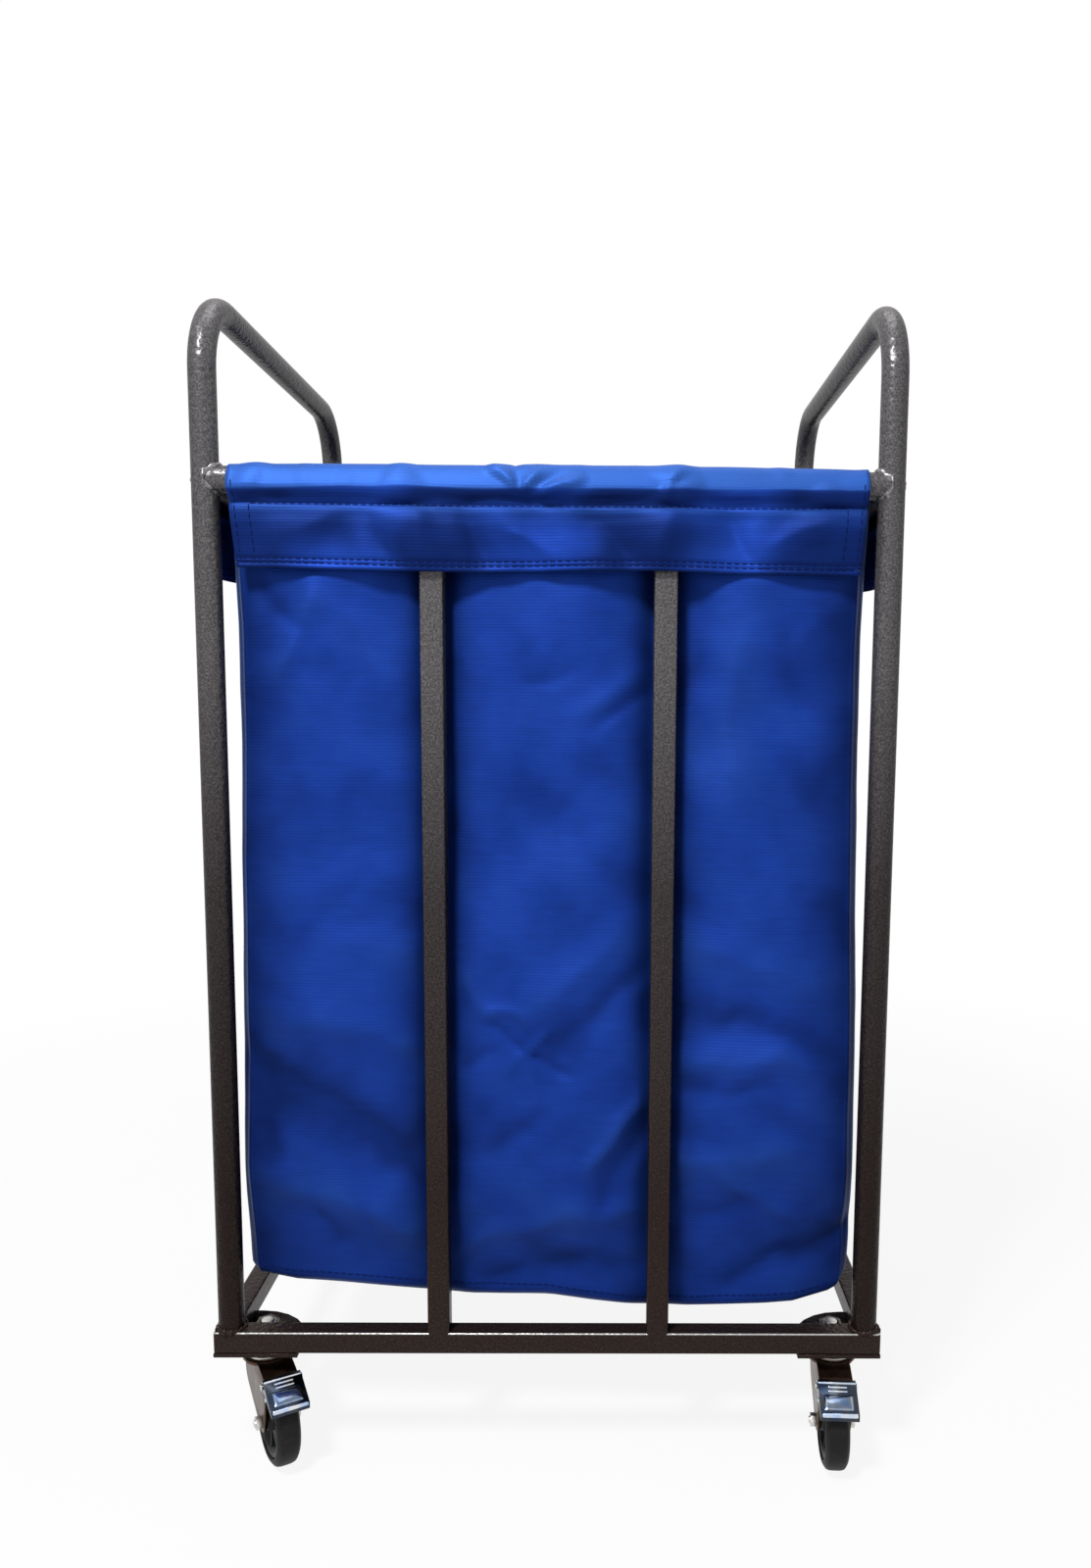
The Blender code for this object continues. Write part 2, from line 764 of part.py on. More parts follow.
def add_casters():
    meshes = {
        "plate": plate_mesh(),
        "stem": stem_mesh(),
        "stem_nut": hex_nut_mesh("stem_nut", stem_nut_width, stem_nut_height, stem_radius, "Z"),
        "fork": fork_mesh(),
        "axle_bolt": axle_bolt_mesh(),
        "axle_nut": hex_nut_mesh("axle_nut", hex_nut_width, axle_nut_height, axle_radius, "X"),
        "core": core_mesh(),
        "tyre": tyre_mesh(),
        "brake_pin": brake_pin_mesh(),
        "pedal": pedal_mesh(),
    }
    add_caster("front_left", -1, -1, meshes)
    add_caster("front_right", 1, -1, meshes)
    add_caster("rear_left", -1, 1, meshes)
    add_caster("rear_right", 1, 1, meshes)


# The bag: an open box inside the tubes, its rim turned over each top tube into a hanging flap
def add_bag():
    wrap_radius = tube_radius + bag_clearance
    half_x = post_x - wrap_radius
    half_y = post_y - wrap_radius
    height = top_tube_height - bag_bottom
    middle = (top_tube_height + bag_bottom) / 2
    flap_x = half_x - bag_corner - flap_inset
    flap_y = half_y - bag_corner - flap_inset

    shape = bmesh.new()
    bmesh.ops.create_cube(shape, size=1.0)
    bmesh.ops.scale(shape, vec=(2 * half_x, 2 * half_y, height), verts=shape.verts)
    bmesh.ops.translate(shape, vec=(0, 0, middle), verts=shape.verts)
    lid = [face for face in shape.faces if face.normal.z > 0.5]
    bmesh.ops.delete(shape, geom=lid, context="FACES_ONLY")
    seams = [edge for edge in shape.edges if not edge.is_boundary]
    bmesh.ops.bevel(
        shape, geom=seams, offset=bag_corner, segments=corner_steps, affect="EDGES", profile=0.5
    )
    for axis, place in ((0, -flap_x), (0, flap_x), (1, -flap_y), (1, flap_y)):
        point = Vector((0, 0, 0))
        point[axis] = place
        normal = Vector((0, 0, 0))
        normal[axis] = 1
        everything = list(shape.verts) + list(shape.edges) + list(shape.faces)
        bmesh.ops.bisect_plane(shape, geom=everything, plane_co=point, plane_no=normal)

    for axis, sign in ((1, -1), (1, 1), (0, -1), (0, 1)):
        reach = flap_x if axis == 1 else flap_y
        wall = sign * (half_y if axis == 1 else half_x)
        tube = sign * (post_y if axis == 1 else post_x)
        rim = []
        for edge in shape.edges:
            middle_point = (edge.verts[0].co + edge.verts[1].co) / 2
            on_wall = all(abs(vert.co[axis] - wall) < gap for vert in edge.verts)
            at_top = all(abs(vert.co.z - top_tube_height) < gap for vert in edge.verts)
            if edge.is_boundary and on_wall and at_top and abs(middle_point[1 - axis]) < reach:
                rim.append(edge)
        centre = Vector((0, 0, top_tube_height))
        centre[axis] = tube
        direction = Vector((-sign, 0, 0)) if axis == 1 else Vector((0, sign, 0))
        wrapped = bmesh.ops.spin(
            shape,
            geom=rim,
            cent=centre,
            axis=direction,
            angle=math.pi,
            steps=wrap_steps,
            use_duplicate=False,
        )
        hem = [item for item in wrapped["geom_last"] if isinstance(item, bmesh.types.BMEdge)]
        fall = bmesh.ops.extrude_edge_only(shape, edges=hem)
        lower = [item for item in fall["geom"] if isinstance(item, bmesh.types.BMVert)]
        bmesh.ops.translate(shape, vec=(0, 0, -flap_drop), verts=lower)
    bmesh.ops.remove_doubles(shape, verts=shape.verts, dist=gap / 3)
    bag = add_piece("laundry_bag", mesh_from_bmesh("laundry_bag", shape), cloth)
    add_shell(bag, bag_cloth)


paint = ((0.115, 0.105, 0.098), 0.42, 0.55)
zinc = ((0.62, 0.60, 0.57), 0.32, 1.0)
fork_zinc = ((0.36, 0.33, 0.30), 0.30, 1.0)
chrome = ((0.80, 0.81, 0.83), 0.12, 1.0)
rubber = ((0.020, 0.020, 0.021), 0.62, 0.0)
core_plastic = ((0.055, 0.055, 0.058), 0.5, 0.0)
cloth = ((0.010, 0.045, 0.42), 0.55, 0.0)

clear_scene()
cart_collection = new_collection("laundry_cart")
cutter_collection = new_collection("cutters")

tube_cutters = add_tube_cutters()
add_hoop("left_hoop", -post_x)
add_hoop("right_hoop", post_x)
add_top_tubes()
add_bottom_rails()
add_bars()
add_casters()
add_bag()
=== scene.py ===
import json
import math
import random

import bmesh
import bpy
import numpy as np
from mathutils import Matrix, Vector


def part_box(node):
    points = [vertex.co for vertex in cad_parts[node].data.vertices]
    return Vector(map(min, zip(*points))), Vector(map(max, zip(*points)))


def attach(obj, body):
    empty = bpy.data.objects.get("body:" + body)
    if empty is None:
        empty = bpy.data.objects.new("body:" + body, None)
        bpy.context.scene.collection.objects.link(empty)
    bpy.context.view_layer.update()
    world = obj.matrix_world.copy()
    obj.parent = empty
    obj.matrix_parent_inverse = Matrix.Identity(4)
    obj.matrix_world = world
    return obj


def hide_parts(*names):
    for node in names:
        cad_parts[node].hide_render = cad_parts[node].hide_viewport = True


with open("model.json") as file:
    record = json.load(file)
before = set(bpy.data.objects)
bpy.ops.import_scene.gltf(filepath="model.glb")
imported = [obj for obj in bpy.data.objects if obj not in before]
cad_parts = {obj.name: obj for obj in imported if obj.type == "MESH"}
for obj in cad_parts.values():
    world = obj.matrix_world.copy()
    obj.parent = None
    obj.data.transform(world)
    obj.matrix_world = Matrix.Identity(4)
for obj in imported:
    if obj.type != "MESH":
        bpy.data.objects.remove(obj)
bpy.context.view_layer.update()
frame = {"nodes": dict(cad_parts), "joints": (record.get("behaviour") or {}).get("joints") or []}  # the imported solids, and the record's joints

print("frame loaded:", len(frame["nodes"]), "solids")

corners = ("front_left", "front_right", "rear_left", "rear_right")
ends = ("front", "rear")
sides = ("left", "right")


# Materials. A node's inputs take plain values or the sockets that feed them
def newMaterial(name, roughness, metallic=0.0, **inputs):
    material = bpy.data.materials.new(name)
    material.use_nodes = True
    shader = material.node_tree.nodes["Principled BSDF"]
    inputs.update(Roughness=roughness, Metallic=metallic)
    for socket, value in inputs.items():
        shader.inputs[socket.replace("_", " ")].default_value = value
    return material


def addNode(material, kind, inputs, **settings):
    node = material.node_tree.nodes.new("ShaderNode" + kind)
    for setting, value in settings.items():
        setattr(node, setting, value)
    for socket, value in inputs.items():
        if isinstance(value, bpy.types.NodeSocket):
            material.node_tree.links.new(value, node.inputs[socket])
        else:
            node.inputs[socket].default_value = value
    return node


def feedShader(material, socket, source):
    shader = material.node_tree.nodes["Principled BSDF"]
    material.node_tree.links.new(source, shader.inputs[socket])


def addMath(material, operation, *values, clamp=False):
    node = addNode(
        material, "Math", dict(enumerate(values)), operation=operation, use_clamp=clamp
    )
    return node.outputs["Value"]


def addMix(material, share, first, second, mode="MIX"):
    inputs = {"Fac": share, "Color1": first, "Color2": second}
    return addNode(material, "MixRGB", inputs, blend_type=mode).outputs["Color"]


def addRange(material, value, span, result=(0.0, 1.0)):
    inputs = {"Value": value, "From Min": span[0], "From Max": span[1]}
    inputs.update({"To Min": result[0], "To Max": result[1]})
    return addNode(material, "MapRange", inputs).outputs["Result"]


def addNoise(material, place, scale, detail=2.0):
    inputs = {"Vector": place, "Scale": scale, "Detail": detail}
    return addNode(material, "TexNoise", inputs).outputs["Fac"]


def addRamp(material, factor, stops):
    ramp = addNode(material, "ValToRGB", {"Fac": factor})
    while len(ramp.color_ramp.elements) < len(stops):
        ramp.color_ramp.elements.new(0.5)
    for element, (place, colour) in zip(ramp.color_ramp.elements, stops):
        element.position = place
        element.color = (*colour, 1)
    return ramp.outputs["Color"]


def addBump(material, height, strength, distance, normal=None):
    inputs = {"Height": height, "Strength": strength, "Distance": distance}
    if normal is not None:
        inputs["Normal"] = normal
    return addNode(material, "Bump", inputs).outputs["Normal"]


def objectPlace(material):
    return addNode(material, "TexCoord", {}).outputs["Object"]


def objectLevel(material):
    return addNode(material, "SeparateXYZ", {"Vector": objectPlace(material)}).outputs["Z"]


# Pieces carry shares at their points: "hollow" darkens as painted shade, "rubbed" pales as a
# painted highlight and "polish" brightens as a painted reflection
def readShare(material, name):
    return addNode(material, "Attribute", {}, attribute_name=name).outputs["Fac"]


def setShares(bm, name, shares):
    layer = bm.verts.layers.float.new(name)
    for vert, share in zip(bm.verts, shares):
        vert[layer] = float(share)


# Darkens a colour by a piece's painted shade share
def addPaintedShade(material, colour, dim, level=1.0):
    strength = addMath(material, "MULTIPLY_ADD", readShare(material, "paintedShade"), -dim, 1.0)
    strength = addMath(material, "MULTIPLY", strength, level)
    inputs = {0: colour, "Scale": strength}
    return addNode(material, "VectorMath", inputs, operation="SCALE").outputs["Vector"]


paintLook = {
    "dark": (0.054, 0.052, 0.055),
    "middle": (0.094, 0.090, 0.094),
    "fleck": (0.170, 0.163, 0.170),
    "fleckStops": (0.32, 0.50, 0.72),
    "heightShadeLevels": (0.10, 0.95),  # from the rails up to the handles: painted shade and a painted warm floor reflection, darker and browner towards the rails
    "heightShade": (
        (0.0, (0.27, 0.175, 0.14)), (0.18, (0.24, 0.16, 0.135)), (0.49, (0.42, 0.37, 0.36)),
        (0.72, (1.0, 0.98, 0.98)), (1.0, (0.95, 0.95, 0.95)),
    ),
    # The pale colour of the painted highlight along the rails' upper outer edges
    "paintedGlint": (0.62, 0.62, 0.60),
    "paintedGlintShare": 0.66,
    "paintedGlintScale": 70,
    "dim": 0.55,  # painted shade on the outer and under sides
    "cellScale": 250,
    "cellBump": 0.75,
    "fleckScale": 640,
    "fleckBump": 0.25,
    "roughness": 0.30,
    "gloss": 0.30,
    "edge": (0.40, 0.38, 0.38),
    "metal": 0.40,
}


def makePaint(name, look, lift=1.0, roughness=paintLook["roughness"]):
    material = newMaterial(
        name, roughness, look["metal"],
        Specular_IOR_Level=look["gloss"], Specular_Tint=(*look["edge"], 1),
    )
    place = objectPlace(material)
    flecks = addNoise(material, place, look["fleckScale"])
    tones = [[channel * lift for channel in look[key]] for key in ("dark", "middle", "fleck")]
    grain = addRamp(material, flecks, list(zip(look["fleckStops"], tones)))
    # Painted shade and painted floor reflection, by height
    height = addRange(material, objectLevel(material), look["heightShadeLevels"])
    colour = addMix(material, 1.0, grain, addRamp(material, height, look["heightShade"]), "MULTIPLY")
    # Painted highlight where a piece marks it, broken into dots by noise
    paintedHighlight = readShare(material, "paintedHighlight")
    patchy = addNoise(material, place, look["paintedGlintScale"], 3.0)
    glintMask = addMath(material, "MULTIPLY_ADD", paintedHighlight, patchy, paintedHighlight)
    share = addMath(material, "MULTIPLY", glintMask, look["paintedGlintShare"], clamp=True)
    paintedGlint = addMix(material, share, colour, (*look["paintedGlint"], 1))
    feedShader(material, "Base Color", addPaintedShade(material, paintedGlint, look["dim"]))
    cells = addNode(
        material, "TexVoronoi", {"Vector": place, "Scale": look["cellScale"]}, feature="SMOOTH_F1"
    )
    hammered = addBump(material, cells.outputs["Distance"], look["cellBump"], 0.0008)
    finish = addBump(material, flecks, look["fleckBump"], 0.0004, hammered)
    feedShader(material, "Normal", finish)
    return material


clothLook = {
    "deep": (0.0068, 0.034, 0.250),
    "light": (0.0110, 0.049, 0.335),
    "cloudScale": 14,
    "cloudBump": 0.25,
    "streaks": ((0.3, (0.3, 0.3, 0.3)), (0.7, (1.6, 1.6, 1.6))),
    "streakScale": (30, 240, 1),
    "streakShare": 0.08,
    "footShade": 0.78,  # how bright the cloth is painted at its foot, as painted shade
    "footLevels": (0.10, 0.42),
    "ribPitch": 0.0025,
    "threadPitch": 0.0016,
    "threadShare": 0.35,
    "ribBump": 0.20,
    "roughness": 0.55,
    "gloss": 0.06,
    "sheen": 0.11,
    "sheenRoughness": 0.35,
    "sheenTint": (0.45, 0.85, 0.95),
    "lustre": 0.40,
    "dim": 0.48,
    # The colour of the painted highlight on crests and upward-facing cloth
    "crest": (0.034, 0.118, 0.35),
    "crestHighlightShare": 0.50,
}


# Fine lines side by side, a pitch apart in metres
def addLines(material, place, pitch, direction, inputs):
    inputs = {"Vector": place, "Scale": 2 * math.pi / (20 * pitch), **inputs}
    return addNode(material, "TexWave", inputs, bands_direction=direction).outputs["Fac"]


def makeCloth(look):
    material = newMaterial(
        "royalBlueCloth", look["roughness"], look["lustre"], Specular_IOR_Level=look["gloss"],
        Sheen_Weight=look["sheen"], Sheen_Roughness=look["sheenRoughness"],
        Sheen_Tint=(*look["sheenTint"], 1),
    )
    place = addNode(material, "UVMap", {}, uv_map="weave").outputs["UV"]
    slack = {"Distortion": 0.5, "Detail": 1.0, "Detail Scale": 0.35}
    ribs = addLines(material, place, look["ribPitch"], "Y", slack)
    threads = addLines(material, place, look["threadPitch"], "X", {"Distortion": 1.0})
    clouds = addNoise(material, place, look["cloudScale"], 4.0)
    blue = addRamp(material, clouds, ((0.3, look["deep"]), (0.7, look["light"])))
    drawn = addNode(material, "Mapping", {"Vector": place, "Scale": look["streakScale"]})
    streaks = addRamp(material, addNoise(material, drawn.outputs["Vector"], 1.0), look["streaks"])
    streaky = addMix(material, look["streakShare"], blue, streaks, "MULTIPLY")
    # Painted shade towards the foot and where a piece marks it, and a painted highlight where a
    # piece marks it
    fade = addRange(
        material, objectLevel(material), look["footLevels"], (look["footShade"], 1.0)
    )
    shaded = addPaintedShade(material, streaky, look["dim"], fade)
    share = addMath(material, "MULTIPLY", readShare(material, "paintedHighlight"), look["crestHighlightShare"])
    feedShader(material, "Base Color", addMix(material, share, shaded, (*look["crest"], 1)))
    weave = addMath(material, "MULTIPLY_ADD", threads, look["threadShare"], ribs)
    woven = addBump(material, weave, look["ribBump"], 0.0003)
    feedShader(material, "Normal", addBump(material, clouds, look["cloudBump"], 0.004, woven))
    return material


def makeThread():
    material = newMaterial("navyThread", 0.7, Specular_IOR_Level=0.05)
    twist = addNoise(material, objectPlace(material), 1800)
    navy = addRamp(material, twist, ((0.3, (0.003, 0.008, 0.060)), (0.7, (0.005, 0.016, 0.115))))
    feedShader(material, "Base Color", navy)
    return material


metalFinish = {"spread": 0.12, "scratches": 6, "bump": 0.08}


# Plated or bare metal: two tones worn together by noise, with fine scratches in the finish
def makeMetal(name, first, second, roughness, scale):
    material = newMaterial(name, roughness, 1.0)
    place = objectPlace(material)
    wearAndGlint = addNoise(material, place, scale, 5.0)
    feedShader(material, "Base Color", addRamp(material, wearAndGlint, ((0.35, first), (0.65, second))))
    half = metalFinish["spread"] / 2
    polishAndPaintedReflection = addRange(material, wearAndGlint, (0.3, 0.7), (roughness - half, roughness + half))
    feedShader(material, "Roughness", polishAndPaintedReflection)
    fine = addNoise(material, place, scale * metalFinish["scratches"])
    feedShader(material, "Normal", addBump(material, fine, metalFinish["bump"], 0.0006))
    return material


mouldedFinish = {"dustShare": 0.30, "dustFade": 0.12, "skin": 9, "bump": 0.12}


# Rubber and moulded plastic: a dark ground with dust in patches
def makeMoulded(name, ground, dust, roughness, scale):
    material = newMaterial(name, roughness, Specular_IOR_Level=0.2)
    place = objectPlace(material)
    dusty = addNoise(material, place, scale, 6.0)
    clean, fade = 1 - mouldedFinish["dustShare"], mouldedFinish["dustFade"]
    colour = addRamp(material, dusty, ((clean - fade, ground), (clean + fade, dust)))
    feedShader(material, "Base Color", colour)
    skin = addNoise(material, place, scale * mouldedFinish["skin"])
    feedShader(material, "Normal", addBump(material, skin, mouldedFinish["bump"], 0.0008))
    return material


chromeLook = {
    # Painted reflection: dark, blue-grey and bright, as the pieces mark it
    "tones": (
        (0.0, (0.022, 0.023, 0.026)), (0.5, (0.175, 0.205, 0.245)), (1.0, (0.78, 0.80, 0.82)),
    ),
    "bluePatches": ((0.38, (0.55, 0.70, 1.0)), (0.62, (1.0, 1.0, 1.0))),
    "bluePatchScale": 75,
    "roughness": 0.14,
    "scratchScale": 500,
    "bump": 0.03,
}


# Plated sheet with painted reflection: its pressed ridges are painted bright and its faces dark,
# and it is bluer in random patches
def makeChrome(look):
    material = newMaterial("pedalChrome", look["roughness"], 1.0)
    place = objectPlace(material)
    tone = addRamp(material, readShare(material, "polishAndPaintedReflection"), look["tones"])
    bluePatch = addRamp(material, addNoise(material, place, look["bluePatchScale"], 3.0), look["bluePatches"])
    feedShader(material, "Base Color", addMix(material, 1.0, tone, bluePatch, "MULTIPLY"))
    fine = addNoise(material, place, look["scratchScale"])
    feedShader(material, "Normal", addBump(material, fine, look["bump"], 0.0006))
    return material


paint = makePaint("hammertonePaint", paintLook)
# A lighter copy of the paint for the weld beads: a painted glint
glintWeldPaint = makePaint("glintWeldPaint", paintLook, lift=1.9, roughness=0.26)
cloth = makeCloth(clothLook)
thread = makeThread()
zinc = makeMetal("zincPlate", (0.50, 0.48, 0.45), (0.70, 0.69, 0.66), 0.30, 160)
# A darker copy of the zinc for the stem nuts behind the rails: painted shade
shadedZinc = makeMetal("shadedZinc", (0.10, 0.085, 0.07), (0.22, 0.20, 0.185), 0.36, 140)
# The fork's reddish brown is a painted reflection of a brown floor
forkSteel = makeMetal("forkPlate", (0.048, 0.025, 0.015), (0.110, 0.066, 0.045), 0.34, 60)
chrome = makeChrome(chromeLook)
rubber = makeMoulded("tyreRubber", (0.006, 0.006, 0.0065), (0.026, 0.017, 0.012), 0.55, 110)
plastic = makeMoulded("wheelPlastic", (0.012, 0.012, 0.013), (0.035, 0.028, 0.022), 0.45, 90)
print("materials ready")


# Pieces
def addToScene(name, data):
    holder = bpy.data.objects.new(name, data)
    bpy.context.scene.collection.objects.link(holder)
    return holder


def finishPiece(
    name, bm, replaced=(), material=paint, body="frame", sharpAngle=38
):
    mesh = bpy.data.meshes.new(name)
    bm.to_mesh(mesh)
    bm.free()
    mesh.materials.clear()
    mesh.materials.append(material)
    mesh.shade_smooth()
    mesh.set_sharp_from_angle(angle=math.radians(sharpAngle))
    piece = addToScene(name, mesh)
    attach(piece, body)
    if replaced:
        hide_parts(*replaced)
    return piece


def mergeDoubles(bm, merge=0.00001):
    bmesh.ops.remove_doubles(bm, verts=bm.verts, dist=merge)


def turnFacesOut(bm):
    bmesh.ops.recalc_face_normals(bm, faces=bm.faces)


def fixNormals(bm):
    mergeDoubles(bm)
    turnFacesOut(bm)


def roundEdges(bm, edges, width, segments):
    bmesh.ops.bevel(
        bm, geom=edges, offset=width, segments=segments, affect="EDGES",
        profile=0.5, material=-1, clamp_overlap=True,
    )


def sharpEdges(bm, angle=30):
    return [edge for edge in bm.edges if edge.calc_face_angle(0) > math.radians(angle)]


def climbOf(edge):
    return abs(edge.verts[0].co.z - edge.verts[1].co.z)


def edgesOf(verts):
    edges = {edge for vert in verts for edge in vert.link_edges}
    return sorted(edges, key=lambda edge: tuple(edge.verts[0].co + edge.verts[1].co))


def partsOf(items, kind):
    return [item for item in items if isinstance(item, kind)]


# A copy of a CAD piece whose shape is right, with its hard edges softened
def softened(node, width, segments):
    bm = bmesh.new()
    bm.from_mesh(frame["nodes"][node].data)
    mergeDoubles(bm)
    bmesh.ops.dissolve_limit(
        bm, angle_limit=math.radians(0.5), verts=bm.verts, edges=bm.edges
    )
    roundEdges(bm, sharpEdges(bm), width, segments)
    return bm


def extrudeRing(bm, ring, move):
    made = bmesh.ops.extrude_edge_only(bm, edges=ring)["geom"]
    verts = partsOf(made, bmesh.types.BMVert)
    bmesh.ops.translate(bm, vec=move, verts=verts)
    fresh = set(verts)
    return [edge for edge in partsOf(made, bmesh.types.BMEdge) if set(edge.verts) <= fresh]


def bendRing(bm, ring, centre, axis, steps):
    made = bmesh.ops.spin(
        bm, geom=ring, cent=centre, axis=axis, angle=math.pi / 2, steps=steps, use_duplicate=False
    )
    return partsOf(made["geom_last"], bmesh.types.BMEdge)


# Each side's hoop is one bent tube: post, bend, handle, bend, post
hoopTube = {
    "radius": 0.0111,
    "bendRadius": 0.060,
    "sides": 48,
    "bendSteps": 18,
    "underShade": 1.1,
    "shadePower": 1.6,
}


def makeHoop(side):
    low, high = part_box(side + "_hoop")
    radius, bend = hoopTube["radius"], hoopTube["bendRadius"]
    x = (low.x + high.x) / 2
    front, rear, top = low.y + radius, high.y - radius, high.z - radius
    rise = top - bend - low.z
    bm = bmesh.new()
    bmesh.ops.create_circle(
        bm, cap_ends=False, segments=hoopTube["sides"], radius=radius,
        matrix=Matrix.Translation((x, front, low.z)),
    )
    ring = extrudeRing(bm, bm.edges[:], (0, 0, rise))
    for y, move in (
        (front + bend, (0, rear - front - 2 * bend, 0)),
        (rear - bend, (0, 0, -rise)),
    ):
        ring = bendRing(bm, ring, (x, y, top - bend), (-1, 0, 0), hoopTube["bendSteps"])
        ring = extrudeRing(bm, ring, move)
    bmesh.ops.holes_fill(bm, edges=bm.edges, sides=0)
    fixNormals(bm)
    bm.normal_update()

    # Painted shade: the tube is darker on its outer side and its underside
    def shadeAt(vert):
        outer, under = math.copysign(1, x) * vert.normal.x, -vert.normal.z
        share = max(0.0, outer, hoopTube["underShade"] * under) ** hoopTube["shadePower"]
        return min(1.0, share)

    setShares(bm, "paintedShade", [shadeAt(vert) for vert in bm.verts])
    finishPiece(side + "_hoop_tube", bm, [side + "_hoop"])


for side in sides:
    makeHoop(side)

postX = sum(corner.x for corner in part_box("right_hoop")) / 2
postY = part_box("right_hoop")[1].y - hoopTube["radius"]
rimLevel = sum(corner.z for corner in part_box("front_top_tube")) / 2
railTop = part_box("front_bottom_rail")[1].z
alongX = Matrix.Rotation(math.pi / 2, 4, "Y")
alongY = Matrix.Rotation(math.pi / 2, 4, "X")
copeGap = 0.0004


# Round top tubes, their ends coped to the posts
def makeTopTube(name, centre, length, turn, axis):
    radius = hoopTube["radius"]
    bm = bmesh.new()
    bmesh.ops.create_cone(
        bm, cap_ends=True, segments=hoopTube["sides"], radius1=radius, radius2=radius,
        depth=length, matrix=Matrix.Translation(centre) @ turn,
    )
    for vert in bm.verts:
        aside = vert.co[1 - axis] - centre[1 - axis]
        cope = math.sqrt(max(radius ** 2 - aside ** 2, 0)) - copeGap
        vert.co[axis] -= math.copysign(cope, vert.co[axis] - centre[axis])
    fixNormals(bm)
    finishPiece(name + "_pipe", bm, [name])


for sign, end in zip((-1, 1), ends):
    makeTopTube(end + "_top_tube", Vector((0, sign * postY, rimLevel)), 2 * postX, alongX, 0)
for sign, side in zip((-1, 1), sides):
    makeTopTube(side + "_top_tube", Vector((sign * postX, 0, rimLevel)), 2 * postY, alongY, 1)


# The bottom frame: one mitred ring of square tube with rounded edges
railTube = {
    "width": 0.019,
    "corner": 0.002,
    "cornerSteps": 4,
    "mitreRound": 0.0026,
    "wearAndGlint": ((0.0008, 1.0), (0.0014, 0.4)),  # how far from the upper outer edge, and how strong the painted highlight is there
}


def makeBaseFrame():
    low = Vector(map(min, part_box("front_bottom_rail")[0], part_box("left_bottom_rail")[0]))
    high = Vector(map(max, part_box("rear_bottom_rail")[1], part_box("right_bottom_rail")[1]))
    middle, size = (low + high) / 2, high - low
    bm = bmesh.new()
    bmesh.ops.create_grid(bm, x_segments=1, y_segments=1, size=0.5)
    bmesh.ops.scale(bm, vec=(size.x, size.y, 1), verts=bm.verts)
    bmesh.ops.translate(bm, vec=(middle.x, middle.y, low.z), verts=bm.verts)
    opening = bm.faces[:]
    bmesh.ops.inset_region(
        bm, faces=opening, thickness=railTube["width"], use_boundary=True, use_even_offset=True
    )
    bmesh.ops.delete(bm, geom=opening, context="FACES_ONLY")
    made = bmesh.ops.extrude_face_region(bm, geom=bm.faces[:], use_keep_orig=True)["geom"]
    bmesh.ops.translate(bm, vec=(0, 0, size.z), verts=partsOf(made, bmesh.types.BMVert))
    turnFacesOut(bm)
    upright = [edge for edge in sharpEdges(bm) if climbOf(edge) > 0.001]
    roundEdges(bm, upright, railTube["mitreRound"], 3)
    flat = [edge for edge in sharpEdges(bm, 60) if climbOf(edge) < 0.001]
    roundEdges(bm, flat, railTube["corner"], railTube["cornerSteps"])
    fixNormals(bm)

    # Painted highlight along the rails' upper outer edges
    def glintAt(vert):
        outside = min(high.x - abs(vert.co.x), high.y - abs(vert.co.y))
        far = max(high.z - vert.co.z, outside)
        return next((wearAndGlint for reach, wearAndGlint in railTube["wearAndGlint"] if far < reach), 0.0)

    setShares(bm, "paintedHighlight", [glintAt(vert) for vert in bm.verts])
    finishPiece("base_frame", bm, [name + "_bottom_rail" for name in ends + sides])


makeBaseFrame()


# Upright square bars, let into the rails and running up into the top tubes
def makeBar(name):
    low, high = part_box(name)
    top = max(high.z, rimLevel - 0.002)
    bottom = railTop - 0.0015
    width = railTube["width"]
    bm = bmesh.new()
    bmesh.ops.create_cube(bm, size=1)
    bmesh.ops.scale(bm, vec=(width, width, top - bottom), verts=bm.verts)
    centre = ((low.x + high.x) / 2, (low.y + high.y) / 2, (top + bottom) / 2)
    bmesh.ops.translate(bm, vec=centre, verts=bm.verts)
    tall = [edge for edge in bm.edges if climbOf(edge) > 0.1]
    roundEdges(bm, tall, railTube["corner"], railTube["cornerSteps"])
    finishPiece(name + "_tube", bm, [name])
    return centre


barNames = [corner + "_bar" for corner in corners] + [side + "_side_bar" for side in sides]
barCentres = {name: makeBar(name) for name in barNames}
print("frame tubes made")

# Weld beads: a ring of bead laid around each joint and rippled along its run
weldBead = {
    "size": 0.0019,
    "thinSize": 0.0013,
    "filletSize": 0.0028,
    "steps": 84,
    "sides": 10,
    "ripples": 15,
    "depth": 0.20,
    "lump": 0.35,
    "heavy": (0.55, 0.75),  # the bead's share all round, and what its heavy side adds
    "least": 0.25,
    "acrossGap": 0.0004,  # from the tube's wall to the bead's middle
    "alongGap": 0.0001,
    "footGap": 0.0003,
    "filletGap": -0.0004,
    "barReach": 0.0085,
    "barHalf": 0.0088,
}
shake = random.Random(7)


